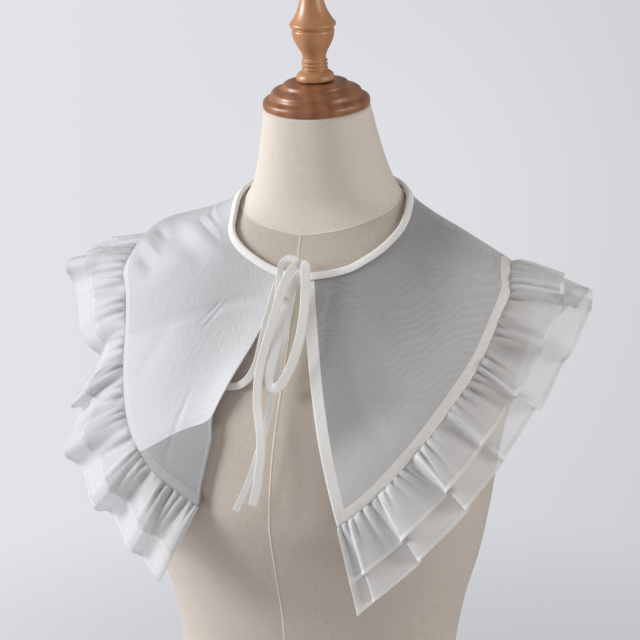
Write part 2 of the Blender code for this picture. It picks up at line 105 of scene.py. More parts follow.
def smooth_rise(xs, ys, x):
    """Value at x of a smooth curve through the rows that never overshoots them."""
    xs = np.asarray(xs, float)
    ys = np.asarray(ys, float)
    step = np.diff(xs)
    slope = np.diff(ys) / step
    bend = np.zeros_like(ys)
    for i in range(1, len(xs) - 1):
        if slope[i - 1] * slope[i] > 0:
            before = 2 * step[i] + step[i - 1]
            after = step[i] + 2 * step[i - 1]
            bend[i] = (before + after) / (before / slope[i - 1] + after / slope[i])
    bend[0] = slope[0]
    bend[-1] = slope[-1]
    x = np.clip(np.asarray(x, float), xs[0], xs[-1])
    i = np.clip(np.searchsorted(xs, x) - 1, 0, len(xs) - 2)
    t = (x - xs[i]) / step[i]
    start = ys[i] * (1 + 2 * t) * (1 - t) ** 2 + ys[i + 1] * t * t * (3 - 2 * t)
    return start + step[i] * (bend[i] * t * (1 - t) ** 2 + bend[i + 1] * t * t * (t - 1))


def curve(table, number, x):
    """Smooth curve through one column of a table, over its first column."""
    columns = np.transpose(table)
    return smooth_rise(columns[0], columns[number], x)


def circle(count):
    return np.linspace(0, FULL_TURN, count, endpoint=False)


def form_section(height):
    return [curve(FORM_SECTIONS_MM, n, height / MM) * MM for n in (1, 2, 3)]


def oval(angle, half_width, front, behind):
    """Point of a rounded-square oval. Angle 0 is the front and 90 degrees is +X."""
    depth = (front + behind) / 2
    across = np.abs(np.sin(angle) / half_width) ** FORM_SQUARENESS
    along = np.abs(np.cos(angle) / depth) ** FORM_SQUARENESS
    reach = (across + along) ** (-1 / FORM_SQUARENESS)
    return reach * np.sin(angle), (behind - front) / 2 - reach * np.cos(angle)


HANG_HEIGHTS = np.linspace(632 * MM, 200 * MM, 433)
HANG_CLEARANCE = np.interp(HANG_HEIGHTS, *np.transpose(CLOTH_CLEARANCE_MM) * MM)
HANG_SECTIONS = []
for size in form_section(HANG_HEIGHTS - 2 * MM):
    HANG_SECTIONS.append(np.maximum.accumulate(size + HANG_CLEARANCE))


def hang_section(height):
    return [np.interp(-np.asarray(height), -HANG_HEIGHTS, size) for size in HANG_SECTIONS]


def cloth_point(angle, height):
    x, y = oval(angle, *hang_section(height))
    return np.stack([x, y, height + 0 * x], axis=-1)


def form_point(angle, height):
    """Point on the linen for each angle and height, with the lean of the neck's top."""
    half_width, front, behind = form_section(height)
    x, y = oval(angle, half_width, front, behind)
    lean = np.maximum(0, height - NECK_TILT_STARTS) / (NECK_TOP - NECK_TILT_STARTS)
    rise = math.tan(NECK_TILT) * lean * (y - (behind - front) / 2)
    return np.stack([x, y, height + rise], axis=-1)


def front_point(x, height, stand_off):
    """Point a given distance in front of the resting cloth."""
    half_width, front, behind = hang_section(height)
    flat = (1 - np.abs(x / half_width) ** FORM_SQUARENESS) ** (1 / FORM_SQUARENESS)
    y = (behind - front) / 2 - (front + behind) / 2 * flat
    return np.stack([x, y - stand_off, height + 0 * x], axis=-1)


print("cloth at bust height, half width in mm:", round(float(hang_section(0.4)[0]) * 1000, 1))

# %% [markdown]
# ## From grids of points to meshes
# Every piece here is a grid of points: a tube of rings for wood, form and ties, or a sheet with
# two faces for cloth. One helper turns a grid into a mesh with a map in metres, so that threads
# and stitches come out at their real size. A second map holds distances to the edges.

# %% Grid helpers
def unit(vectors):
    return vectors / np.linalg.norm(vectors, axis=-1, keepdims=True)


def grid_normals(grid):
    along = np.gradient(grid, axis=0)
    across = np.gradient(grid, axis=1)
    return unit(np.cross(along, across))


def smoothed(rows, times):
    """Rows averaged with their neighbours, the ends kept."""
    rows = rows.copy()
    for _ in range(times):
        rows[1:-1] = (rows[:-2] + 2 * rows[1:-1] + rows[2:]) / 4
    return rows


def run_length(line):
    """Distance along a line of points, starting at 0."""
    return np.concatenate([[0], np.cumsum(np.linalg.norm(np.diff(line, axis=0), axis=1))])


def along_line(line, share, values=None):
    """Points of a line, or values given at them, at each share of its length."""
    run = run_length(line)
    values = line if values is None else values
    columns = [np.interp(share * run[-1], run, values[:, axis]) for axis in range(3)]
    return np.stack(columns, axis=-1)


print("grid helpers ready")

# %% Mesh helpers
def make_piece(name, points, faces, corner_maps, material):
    """One smooth mesh object that rides on the body. A map lists u, v for every corner."""
    mesh = bpy.data.meshes.new(name)
    mesh.from_pydata(np.asarray(points).tolist(), [], faces)
    for title, corners in corner_maps.items():
        layer = mesh.uv_layers.new(name=title)
        layer.data.foreach_set("uv", np.asarray(corners, np.float32).ravel())
    mesh.polygons.foreach_set("use_smooth", np.ones(len(mesh.polygons), bool))
    shape = bmesh.new()
    shape.from_mesh(mesh)
    bmesh.ops.recalc_face_normals(shape, faces=shape.faces)
    shape.to_mesh(mesh)
    shape.free()
    piece = bpy.data.objects.new(name, mesh)
    bpy.context.scene.collection.objects.link(piece)
    piece.data.materials.append(material)
    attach(piece, BODY)
    print(name, "faces:", len(mesh.polygons))
    return piece


def tube(name, rings, around, along, material):
    """A closed skin over rings. around and along are the map's metres across and along it."""
    rings = np.asarray(rings)
    count, sides = rings.shape[:2]
    i, j = np.meshgrid(np.arange(count - 1), np.arange(sides), indexing="ij")
    i, j = i.ravel(), j.ravel()
    k = (j + 1) % sides
    near, onward = i * sides, (i + 1) * sides
    faces = np.stack([near + j, near + k, onward + k, onward + j], axis=1)
    u = np.stack([around[j], around[j + 1], around[j + 1], around[j]], axis=1)
    v = np.stack([along[i], along[i], along[i + 1], along[i + 1]], axis=1)
    corners = np.stack([u.ravel(), v.ravel()], axis=1)
    faces = faces.tolist()
    points = rings.reshape(-1, 3)
    for start, flip in ((0, True), ((count - 1) * sides, False)):
        centre = points[start:start + sides].mean(axis=0)
        points = np.concatenate([points, centre[None]])
        middle = len(points) - 1
        for n in range(sides):
            a, b = start + n, start + (n + 1) % sides
            faces.append((b, a, middle) if flip else (a, b, middle))
            ring_uv = [(p[0], p[1]) for p in (points[a], points[b], points[middle])]
            corners = np.concatenate([corners, np.array(ring_uv)])
    return make_piece(name, points, faces, {"cloth": corners}, material)


def add_map(piece, title, values):
    """Gives a piece one more map, from a value u, v at every point."""
    corners = np.zeros(len(piece.data.loops), int)
    piece.data.loops.foreach_get("vertex_index", corners)
    layer = piece.data.uv_layers.new(name=title)
    layer.data.foreach_set("uv", np.asarray(values, np.float32)[corners].ravel())


def sheet(name, middle, normals, thickness, maps, material):
    """A thin closed sheet: a grid moved out and in by half its thickness, with a rim.

    Each map gives u and v at every point of the grid.
    """
    rows, columns = middle.shape[:2]
    half = np.broadcast_to(np.asarray(thickness) / 2, (rows, columns))[..., None]
    faces_out = (middle + normals * half).reshape(-1, 3)
    faces_in = (middle - normals * half).reshape(-1, 3)
    points = np.concatenate([faces_out, faces_in])
    count = rows * columns
    i, j = np.meshgrid(np.arange(rows - 1), np.arange(columns - 1), indexing="ij")
    first = (i * columns + j).ravel()
    face = np.stack([first, first + columns, first + columns + 1, first + 1], axis=1)
    place = np.arange(count).reshape(rows, columns)
    rim = np.concatenate([place[:, 0], place[-1, 1:], place[-2::-1, -1], place[0, -2:0:-1]])
    onward = np.roll(rim, -1)
    edge = np.stack([rim, count + rim, count + onward, onward], axis=1)
    faces = np.concatenate([face, count + face[:, ::-1], edge])
    corner_maps = {}
    for title, values in maps.items():
        flat = np.stack(np.broadcast_arrays(*values), axis=-1).reshape(-1, 2)
        corner_maps[title] = np.concatenate([flat, flat])[faces.ravel()]
    return make_piece(name, points, faces.tolist(), corner_maps, material)


def rounded(profile, times):
    """A profile with its corners cut off again and again, its two ends kept."""
    line = np.array(profile, float)
    for _ in range(times):
        near = line[:-1] * 0.75 + line[1:] * 0.25
        far = line[:-1] * 0.25 + line[1:] * 0.75
        cut = np.stack([near, far], axis=1).reshape(-1, line.shape[1])
        line = np.concatenate([line[:1], cut, line[-1:]])
    return line


print("mesh helpers ready")

# %% [markdown]
# ## Node helpers
# The materials are built from small nodes. A Value holds the output of a node. It can be added,
# multiplied, eased and used as the share between two colours, so that a material reads like a
# formula. The threads, grain and stitches that several materials share are node groups, built
# once and placed in each material with its own numbers.

# %% Node helpers
def plug(socket, item):
    """Links a Value to a socket, or sets the socket to a number, vector or colour."""
    if isinstance(item, Value):
        item.tree.links.new(item.socket, socket)
    elif socket.type == "RGBA":
        socket.default_value = (*item, 1)
    else:
        socket.default_value = item


def plug_all(sockets, items):
    for name, item in items.items():
        plug(sockets[name], item)


class Value:
    """The output of a node, used like a number, a vector or a colour in a formula."""

    def __init__(self, tree, socket):
        self.tree = tree
        self.socket = socket

    def through(self, kind, items, setting=None, choice=None, result=0):
        """Sends items through a new node, with one of its settings chosen."""
        node = self.tree.nodes.new(kind)
        if setting:
            setattr(node, setting, choice)
        for name, item in items.items():
            plug(node.inputs[name], item)
        return Value(self.tree, node.outputs[result])

    def calc(self, operation, *others):
        items = dict(enumerate((self, *others)))
        return self.through("ShaderNodeMath", items, "operation", operation)

    def __add__(self, other):
        return self.calc("ADD", other)

    def __sub__(self, other):
        return self.calc("SUBTRACT", other)

    def __mul__(self, other):
        return self.calc("MULTIPLY", other)

    def eased(self, low, high, low_out=0.0, high_out=1.0):
        """Goes smoothly from low_out to high_out while this value runs from low to high."""
        items = dict(enumerate((self, low, high, low_out, high_out)))
        return self.through("ShaderNodeMapRange", items, "interpolation_type", "SMOOTHSTEP")

    def between(self, first, second):
        """The colour that lies this share of the way from the first to the second."""
        items = {0: self, 6: first, 7: second}
        return self.through("ShaderNodeMix", items, "data_type", "RGBA", 2)

    def tinted(self, colour):
        """This colour times another one."""
        tint = self.through("ShaderNodeMix", {}, "data_type", "RGBA", 2)
        node = tint.socket.node
        node.blend_type = "MULTIPLY"
        for number, item in ((0, 1.0), (6, self), (7, colour)):
            plug(node.inputs[number], item)
        return tint

    def stretched(self, scale):
        return self.through("ShaderNodeVectorMath", {0: self, 1: scale}, "operation", "MULTIPLY")

    def noise(self, scale, detail=2.0, distortion=0.0):
        items = {"Vector": self, "Scale": scale, "Detail": detail, "Distortion": distortion}
        return self.through("ShaderNodeTexNoise", items)

    def parts(self):
        node = self.through("ShaderNodeSeparateXYZ", {0: self}).socket.node
        return [Value(self.tree, socket) for socket in node.outputs]


def combined(tree, *items):
    node = tree.nodes.new("ShaderNodeCombineXYZ")
    for number, item in enumerate(items):
        plug(node.inputs[number], item)
    return Value(tree, node.outputs[0])


def map_of(tree, title):
    node = tree.nodes.new("ShaderNodeUVMap")
    node.uv_map = title
    return Value(tree, node.outputs[0])


def solid_place(tree):
    return Value(tree, tree.nodes.new("ShaderNodeTexCoord").outputs["Object"])


def new_group(title, inputs, outputs):
    """A node group. An input without a number is a vector. Returns it, its inputs and its end."""
    group = bpy.data.node_groups.new(title, "ShaderNodeTree")
    for name, value in inputs.items():
        kind = "NodeSocketVector" if value is None else "NodeSocketFloat"
        socket = group.interface.new_socket(name, in_out="INPUT", socket_type=kind)
        if value is not None:
            socket.default_value = value
    for name in outputs:
        group.interface.new_socket(name, in_out="OUTPUT", socket_type="NodeSocketFloat")
    start = group.nodes.new("NodeGroupInput")
    end = group.nodes.new("NodeGroupOutput")
    given = {name: Value(group, start.outputs[name]) for name in inputs}
    return group, given, end.inputs


def place_group(tree, group, items):
    node = tree.nodes.new("ShaderNodeGroup")
    node.node_tree = group
    plug_all(node.inputs, items)
    return {socket.name: Value(tree, socket) for socket in node.outputs}


def new_material(title):
    material = bpy.data.materials.new(title)
    material.use_nodes = True
    tree = material.node_tree
    return material, tree, tree.nodes["Principled BSDF"].inputs


def add_relief(shader, height, strength, distance):
    items = {"Strength": strength, "Distance": distance, "Height": height}
    plug(shader["Normal"], height.through("ShaderNodeBump", items))


WHITE = (1, 1, 1)
print("node helpers ready")

# %% [markdown]
# ### Woven threads
# Linen and organza are both plain weaves: every thread goes over one and under the next. The
# product of two sine waves gives that checked relief. Real threads also vary: here and there a
# thicker one, a slub, runs for a few centimetres along the warp or the weft.

# %% Thread group
weave, given, result = new_group(
    "plain_weave",
    {
        "Cloth Map": None,
        "Threads Per Metre": 1.0,
        "Slub Length Scale": 1.0,
        "Slub Width Scale": 1.0,
    },
    ["Relief", "Slubs", "Haze"],
)
cloth_place = given["Cloth Map"]
u, v, _ = cloth_place.parts()
half_turns = given["Threads Per Metre"] * math.pi
checks = (u * half_turns).calc("SINE") * (v * half_turns).calc("SINE")
wide = given["Slub Width Scale"]
long = given["Slub Length Scale"]
warp_slubs = cloth_place.stretched(combined(weave, wide, long)).noise(1.0)
weft_slubs = cloth_place.stretched(combined(weave, long, wide)).noise(1.0)
slub_sum = (warp_slubs + weft_slubs) * 0.5
plug(result["Slubs"], slub_sum.eased(0.36, 0.64))
plug(result["Relief"], checks * 0.35 + slub_sum)
plug(result["Haze"], cloth_place.noise(14.0, 3.0))


def woven(tree, place, threads_per_metre, slub_length=25.0, slub_width=700.0):
    return place_group(tree, weave, {
        "Cloth Map": place,
        "Threads Per Metre": threads_per_metre,
        "Slub Length Scale": slub_length,
        "Slub Width Scale": slub_width,
    })


print("group:", weave.name)

# %% [markdown]
# ### A row of stitches
# A machine stitch is a short raised thread, about 2.4 mm long, with a small hole at each end.
# The group takes the distance from the line and the distance along it, and gives a mask.

# %% Stitch group
stitches, given, result = new_group(
    "stitch_row",
    {"Across": 0.0, "Along": 0.0, "Stitch Length": 2.4 * MM, "Half Width": 0.35 * MM},
    ["Thread", "Holes"],
)
beside = given["Across"].calc("ABSOLUTE").calc("DIVIDE", given["Half Width"])
in_row = beside.eased(0.7, 1.3, 1.0, 0.0)
place_in_stitch = given["Along"].calc("DIVIDE", given["Stitch Length"]).calc("FRACT")
from_middle = (place_in_stitch - 0.5).calc("ABSOLUTE")
plug(result["Thread"], in_row * from_middle.eased(0.30, 0.42, 1.0, 0.0))
plug(result["Holes"], in_row * from_middle.eased(0.38, 0.48))
print("group:", stitches.name)

# %% [markdown]
# ### Wood grain
# Turned wood shows long dark pores along the trunk and soft bands of growth. Both are noise that
# is drawn out along one axis. The bands are a sine of the distance, bent by a slow noise.

# %% Grain group
SLOW_SCALE = 40.0
PORE_SCALE = 1500.0
PORE_LENGTH_SCALE = 70.0
BEND = 9.0
grain, given, result = new_group(
    "wood_grain",
    {"Place": None, "Bands Per Metre": 90.0, "Along Scale": 6.0},
    ["Bands", "Pores"],
)
x, y, z = given["Place"].parts()
slow = combined(grain, x * SLOW_SCALE, y * SLOW_SCALE, z * given["Along Scale"])
turns = (x + y * 0.4) * given["Bands Per Metre"]
bent = turns * FULL_TURN + slow.noise(1.0, 3.0, 0.6) * BEND
plug(result["Bands"], bent.calc("SINE") * 0.5 + 0.5)
pores = combined(grain, x * PORE_SCALE, y * PORE_SCALE, z * PORE_LENGTH_SCALE)
plug(result["Pores"], pores.noise(1.0).eased(0.58, 0.74))
print("group:", grain.name)

# %% [markdown]
# ## Linen for the form
# The form is covered in a natural linen of about 14 threads to the centimetre, matte and a
# little uneven in tone. Colour, relief and roughness all come from the same threads. The torso's
# cover is a little darker than the neck's, from the seam down.

# %% Linen
TORSO_TONE = (0.76, 0.75, 0.74)
linen, tree, shader = new_material("natural_linen")
threads = woven(tree, map_of(tree, "cloth"), 1400.0, 90.0, 1300.0)
thread_tone = threads["Slubs"].between((0.72, 0.635, 0.545), (0.83, 0.755, 0.675))
linen_tone = threads["Haze"].eased(0.35, 0.7).between(thread_tone, (0.79, 0.715, 0.635))
above_seam, _, _ = map_of(tree, "cover").parts()
plug_all(shader, {
    "Base Color": linen_tone.tinted(above_seam.eased(-0.05, 0.05).between(TORSO_TONE, WHITE)),
    "Roughness": threads["Slubs"].eased(0.0, 1.0, 0.95, 0.8),
    "Specular IOR Level": 0.2,
    "Sheen Weight": 0.15,
})
add_relief(shader, threads["Relief"], 0.5, 0.4 * MM)

linen_seam, tree, shader = new_material("linen_seam_tape")
threads = woven(tree, map_of(tree, "cloth"), 1800.0)
plug_all(shader, {
    "Base Color": threads["Slubs"].between((0.70, 0.62, 0.53), (0.86, 0.79, 0.71)),
    "Roughness": 0.9,
    "Specular IOR Level": 0.2,
})
add_relief(shader, threads["Relief"], 0.5, 0.3 * MM)
print("materials:", linen.name, linen_seam.name)

# %% [markdown]
# ## Wood for the cap, the finial and the board
# A warm reddish-brown hardwood under a satin varnish. Coat gives the varnish its own smooth
# gloss over the duller wood.

# %% Wood
def make_wood(title, light, dark, bands, along_scale):
    material, tree, shader = new_material(title)
    figure = place_group(tree, grain, {
        "Place": solid_place(tree),
        "Bands Per Metre": bands,
        "Along Scale": along_scale,
    })
    banded = (figure["Bands"] * 0.55).between(light, dark)
    pore_tone = tuple(value * 0.45 for value in dark)
    plug_all(shader, {
        "Base Color": (figure["Pores"] * 0.6).between(banded, pore_tone),
        "Roughness": figure["Bands"].eased(0.0, 1.0, 0.34, 0.46),
        "Coat Weight": 0.25,
        "Coat Roughness": 0.28,
    })
    add_relief(shader, figure["Pores"] * -1.0 + 1.0, 0.12, 0.2 * MM)
    return material


cap_wood = make_wood("turned_cap_wood", (0.37, 0.15, 0.06), (0.19, 0.065, 0.026), 70.0, 5.0)
finial_wood = make_wood("turned_finial_wood", (0.58, 0.29, 0.13), (0.40, 0.17, 0.07), 60.0, 5.0)
board_wood = make_wood("base_board_wood", (0.44, 0.20, 0.085), (0.28, 0.105, 0.04), 45.0, 3.0)
print("materials:", cap_wood.name, finial_wood.name, board_wood.name)

# %% [markdown]
# ## Organza
# Organza is a crisp, very fine sheer weave. The panel is two layers of it, and the two faces of
# the thin sheet stand for the two layers, so each face lets part of the light through. Where two
# sheer layers lie on each other, their threads beat against each other and draw watery lines,
# the moire. Seam allowances and hems are extra layers, so they are denser and paler.

# %% Organza body group
sheer, given, result = new_group(
    "sheer_cloth",
    {
        "Cloth Map": None,
        "Edge Map": None,
        "Clear Opacity": 0.5,
        "Band Opacity": 0.5,
        "Fold Thread At": 0.5,
        "Edge Unit": 1 * MM,
    },
    ["Opacity", "Band", "Holes", "Relief", "Haze"],
)
threads = woven(sheer, given["Cloth Map"], 2600.0, 30.0, 800.0)
run, _, _ = given["Cloth Map"].parts()
from_side, from_hem, _ = given["Edge Map"].parts()
near_side = from_side.eased(0.96, 1.04, 1.0, 0.0)
band = near_side.calc("MAXIMUM", from_hem.eased(0.96, 1.04, 1.0, 0.0))
sewn = place_group(sheer, stitches, {
    "Across": (from_hem - given["Fold Thread At"]) * given["Edge Unit"],
    "Along": run,
})
opacity = band * (given["Band Opacity"] - given["Clear Opacity"]) + given["Clear Opacity"]
opacity = opacity + threads["Slubs"].eased(0.0, 1.0, -0.02, 0.02)
crinkle = given["Cloth Map"].noise(210.0, 3.0, 0.6)
plug_all(result, {
    "Opacity": sewn["Thread"] * 0.12 + opacity,
    "Band": band,
    "Holes": sewn["Holes"],
    "Relief": crinkle * 1.6 + threads["Relief"] * 0.25,
    "Haze": threads["Haze"],
})


def sheer_layer(tree, clear_opacity, band_opacity, fold_thread_at, edge_unit):
    return place_group(tree, sheer, {
        "Cloth Map": map_of(tree, "cloth"),
        "Edge Map": map_of(tree, "edges"),
        "Clear Opacity": clear_opacity,
        "Band Opacity": band_opacity,
        "Fold Thread At": fold_thread_at,
        "Edge Unit": edge_unit,
    })


print("group:", sheer.name)

# %% [markdown]
# The panel on the wearer's right front reads denser than the rest, down to a straight slanted line
# near its point. It is given one more layer there, and its densest band also stands for a band of
# light, so it is partly painted light; past the slanted line the cloth is painted darker as shade.
# On the left front the two layers show their moire. The lines are a sine of height and width, bent
# by slow noise. The cloth is also painted paler or darker from place to place for light and shade:
# lighter near the wearer's right front edge, on its shoulder, towards the left's outer seam and by
# the left point, and darker over most of the left front, which stands partly for shade and partly
# for a dark garment under the cloth.

# %% Panel organza
def finish_organza(shader, cloth, colour, band_colour):
    hazy = cloth["Haze"].between(WHITE, (0.95, 0.95, 0.95))
    body = cloth["Band"].between(hazy.tinted(colour), band_colour)
    plug_all(shader, {
        "Base Color": (cloth["Holes"] * 0.4).between(body, (0.5, 0.49, 0.47)),
        "Roughness": 0.5,
        "Specular IOR Level": 0.25,
        "Sheen Weight": 0.2,
        "Sheen Roughness": 0.4,
    })
    add_relief(shader, cloth["Relief"], 0.32, 1 * MM)


PANEL_CLEAR = 0.50
SEAM_BAND = 9 * MM
organza, tree, shader = new_material("organza_two_layers")
place = map_of(tree, "cloth")
cloth = sheer_layer(tree, PANEL_CLEAR, 0.86, 0.1, SEAM_BAND)
above_low, below_high, _ = map_of(tree, "layers").parts()
round_share, out_share, _ = map_of(tree, "sides").parts()
right_front = round_share.eased(0.30, 0.40, 1.0, 0.0)
left_front = round_share.eased(0.55, 0.70)
# Partly painted light: one more layer above the low line, and its densest band also stands for a
# band of light.
extra_layer_and_light = above_low.eased(-0.03, 0.03) * right_front
layered_light_band_opacity = extra_layer_and_light * below_high.eased(-0.25, 0.25, 0.22, 0.33) + PANEL_CLEAR

drift = place.stretched((9.0, 14.0, 1.0)).noise(1.0, 2.0, 0.4)
ripple = place.stretched((55.0, 130.0, 1.0)).noise(1.0)
x, _, z = solid_place(tree).parts()
turns = z * 150.0 - x * 88.0 + drift * 11.0 + ripple * 1.4
patches = place.noise(16.0).eased(0.36, 0.64, 0.25, 1.0)
water = (turns * FULL_TURN).calc("SINE") * patches * left_front
opacity = cloth["Opacity"].calc("MAXIMUM", layered_light_band_opacity)
plug(shader["Alpha"], water * 0.018 + opacity)

# Painted light and shade on the left front: a dark level that stands partly for shade and partly
# for a dark garment under the cloth, paler towards the outer seam, darker beside the front edge
# and near white by the point. The moire runs through all of it.
shade_line = water * 0.5 + 0.5
moire_lit_and_shaded = shade_line.between((0.525, 0.535, 0.565), (0.565, 0.575, 0.605))
paler = shade_line.between((0.86, 0.87, 0.895), (0.90, 0.91, 0.935))
moire_lit_and_shaded = out_share.eased(0.25, 0.85).between(moire_lit_and_shaded, paler)
shade_beside_front = round_share.eased(0.84, 0.98) * out_share.eased(0.2, 0.4)
shade_beside_front = shade_beside_front * out_share.eased(0.66, 0.88, 1.0, 0.0)
moire_lit_and_shaded = shade_beside_front.between(moire_lit_and_shaded, (0.56, 0.57, 0.595))
near_point_light = round_share.eased(0.88, 0.98) * out_share.eased(0.62, 0.9)
moire_lit_and_shaded = near_point_light.between(moire_lit_and_shaded, (0.93, 0.93, 0.95))

# Painted light on the wearer's right front: lighter near its front edge and on the shoulder, where
# the key light falls.
right_painted_light = round_share.eased(0.0, 0.12).between((0.87, 0.875, 0.895), (0.67, 0.675, 0.695))
shoulder_painted_light = round_share.eased(0.12, 0.24) * out_share.eased(0.5, 0.85, 1.0, 0.2)
right_painted_light = shoulder_painted_light.between(right_painted_light, (0.80, 0.805, 0.83))
# Painted shade: past the low line, the right front and its seam band are painted darker.
thin_shaded_part = above_low.eased(-0.03, 0.03, 1.0, 0.0) * right_front
right_body = thin_shaded_part.between(right_painted_light, (0.51, 0.515, 0.53))
right_band = thin_shaded_part.between(right_painted_light, (0.43, 0.43, 0.44))
body_tone = left_front.between(right_body, moire_lit_and_shaded)
band_tone = left_front.between(right_band, (0.97, 0.96, 0.93))
finish_organza(shader, cloth, body_tone, band_tone)
print("material:", organza.name)

# %% [markdown]
# A ruffle is one layer. The cloth crowds together between two gathers, so it is denser there, and
# it is painted darker there as shade between the gathers. Towards the wearer's left, along the
# strip, away from the key light, the cloth is painted lighter, its hem whiter and denser, and the
# painted shade in its hollows lighter and warmer.

# %% Ruffle organza
HEM_FOLD = 3.0 * MM
organza_ruffle, tree, shader = new_material("organza_one_layer")
place = map_of(tree, "cloth")
cloth = sheer_layer(tree, 0.33, 0.40, 0.92, HEM_FOLD)
hollow, crowded, _ = map_of(tree, "folds").parts()
run, _, _ = place.parts()
# Painted light: towards the wearer's left, away from the key light, the cloth and its hem are
# painted lighter, and the hem denser.
to_left = run.eased(0.55, 0.85)
opacity = crowded * 0.30 + cloth["Opacity"] + run.eased(1.38, 1.58, 0.0, 0.24)
whiter_hem = cloth["Band"] * to_left * 0.16
plug(shader["Alpha"], (opacity + whiter_hem).calc("MINIMUM", 1.0))
# Painted shade in the hollows, deeper here and there.
hollow_shade_tone = to_left.between((0.33, 0.335, 0.34), (0.42, 0.415, 0.405))
open_painted_light = to_left.between((0.79, 0.795, 0.81), (0.95, 0.955, 0.96))
uneven = place.noise(28.0).eased(0.36, 0.62, 0.35, 1.0)
shaded_tone = (hollow * uneven).between(open_painted_light, hollow_shade_tone)
hem_painted_light = to_left.between((0.76, 0.765, 0.78), (0.93, 0.925, 0.905))
finish_organza(shader, cloth, shaded_tone, hem_painted_light)
print("material:", organza_ruffle.name)

# %% [markdown]
# ## Bias binding and ties
# The neck is bound with a bias strip of a denser, creamy white cloth, and the same strip makes
# the ties. A line of stitches runs near the open edge, and the folded edges catch the light.

# %% Binding cloth
STITCHES_AT = 5.6 * MM
binding_cloth, tree, shader = new_material("bias_strip")
place = map_of(tree, "cloth")
threads = woven(tree, place, 2200.0, 60.0, 900.0)
across, along, _ = place.parts()
sewn = place_group(tree, stitches, {
    "Across": across - STITCHES_AT,
    "Along": along,
    "Half Width": 0.3 * MM,
})
tone = threads["Slubs"].between((0.90, 0.895, 0.865), (0.95, 0.945, 0.92))
plug_all(shader, {
    "Base Color": (sewn["Holes"] * 0.6).between(tone, (0.42, 0.40, 0.36)),
    "Roughness": threads["Slubs"].eased(0.0, 1.0, 0.75, 0.6),
    "Specular IOR Level": 0.3,
    "Sheen Weight": 0.2,
})
add_relief(shader, threads["Relief"] * 0.25 + sewn["Thread"] * 0.8, 0.4, 0.3 * MM)
print("material:", binding_cloth.name)

# %% [markdown]
# ## The linen form and its seams
# The form is one smooth skin over many sections. A dress form's cover is sewn from panels, so a
# thin seam runs round the base of the neck, down the centre front and down the centre back. They
# are real ridges.

# %% Form
FORM_SIDES = 180
FORM_ROUND = 0.9
body_heights = np.linspace(15.3 * MM, 500 * MM, 110)
shoulder_heights = np.linspace(504 * MM, NECK_TOP, 74)
form_heights = np.concatenate([body_heights, shoulder_heights])
turn = circle(FORM_SIDES)
form_rings = [form_point(turn, height) for height in form_heights]
around = np.linspace(0, FORM_ROUND, FORM_SIDES + 1)
form = tube("form_cover", form_rings, around, form_heights, linen)
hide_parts("dress_form")

# Columns: angle from the front in degrees, to either side, and height of the neck's seam in mm.
NECK_SEAM_MM = [(0, 572), (25, 576), (60, 589), (120, 606), (180, 614)]
SEAM_HALF_WIDTH = 0.8 * MM
SEAM_RISE = 0.35 * MM
SEAM_SIDES = 10
SEAM_FOOT = 24 * MM
SEAM_POINTS = 240
COVER_SCALE = 100


def neck_seam_height(degrees):
    mirrored = [(-angle, height) for angle, height in NECK_SEAM_MM[:0:-1]]
    return curve(mirrored + NECK_SEAM_MM, 1, degrees) * MM


def seam_line(name, angles, heights):
    """A low rounded ridge that follows the linen along a line."""
    line = form_point(np.radians(angles), heights)
    ahead = unit(np.gradient(line, axis=0))
    after, before = np.radians(angles + 0.5), np.radians(angles - 0.5)
    beside = form_point(after, heights) - form_point(before, heights)
    middle = np.radians(angles)
    higher = form_point(middle, heights + MM) - form_point(middle, heights - MM)
    out = unit(np.cross(beside, higher))
    side = unit(np.cross(ahead, out))
    rings = []
    for turn in circle(SEAM_SIDES):
        across = side * SEAM_HALF_WIDTH * math.cos(turn)
        rings.append(line + across + out * SEAM_RISE * math.sin(turn))
    rings = np.stack(rings, axis=1)
    round_seam = np.linspace(0, 4 * MM, SEAM_SIDES + 1)
    tube(name, rings, round_seam, run_length(line), linen_seam)


turn_degrees = (np.degrees(turn) + 180) % 360 - 180
above = (form_heights[:, None] - neck_seam_height(turn_degrees)[None, :]).ravel()
above = np.append(above * COVER_SCALE, [-1, 1])
add_map(form, "cover", np.stack([above, 0 * above], axis=-1))
seam_angles = np.linspace(-179.5, 179.5, 260)
seam_line("neck_seam", seam_angles, neck_seam_height(seam_angles))
for name, degrees, top_mm in (("front_seam", 0.0, 572), ("back_seam", 180.0, 617)):
    seam_heights = np.linspace(top_mm * MM, SEAM_FOOT, SEAM_POINTS)
    seam_line(name, np.full(SEAM_POINTS, degrees), seam_heights)

# %% [markdown]
# ## Turned wood
# A lathe makes each piece from a profile turned round the neck's leaning axis. The corners of the
# profile are rounded a little, as sandpaper leaves them. The board below is a plain oval plank.

# %% Cap, finial and board
CAP_PROFILE_MM = [
    (0, 0.4), (42.6, 0.4), (43.8, 2.6), (43.8, 6.2), (42.4, 8.4), (37.6, 9.2), (37.0, 13.6),
    (34.6, 15.8), (27.6, 16.8), (26.8, 20.0), (25.0, 21.4), (0, 22.0),
]
FINIAL_PROFILE_MM = [
    (0, 22.4), (15.2, 22.4), (15.6, 24.6), (15.1, 27.2), (13.4, 29.2), (10.4, 30.4), (9.8, 31.2),
    (11.2, 32.3), (9.4, 33.8), (11.2, 35.4), (9.4, 37), (11.1, 38.6), (9.2, 40.2), (9.5, 42),
    (10.2, 45.2), (12.4, 49.2), (14.9, 53.6), (16.6, 58), (17.3, 62.4), (17.1, 64.2), (15.9, 65),
    (15.9, 65.8), (18.2, 66.6), (18.9, 67.8), (18.7, 69.4), (17, 71.4), (15, 74.2), (12.4, 79),
    (10.4, 84.8), (9.2, 90), (8.4, 95.6), (7.8, 101.5), (10, 107.5), (8.6, 113.4), (4.8, 116.2),
    (0, 117),
]
TURNED_SIDES = 96
TURNED_ROUND = 0.2
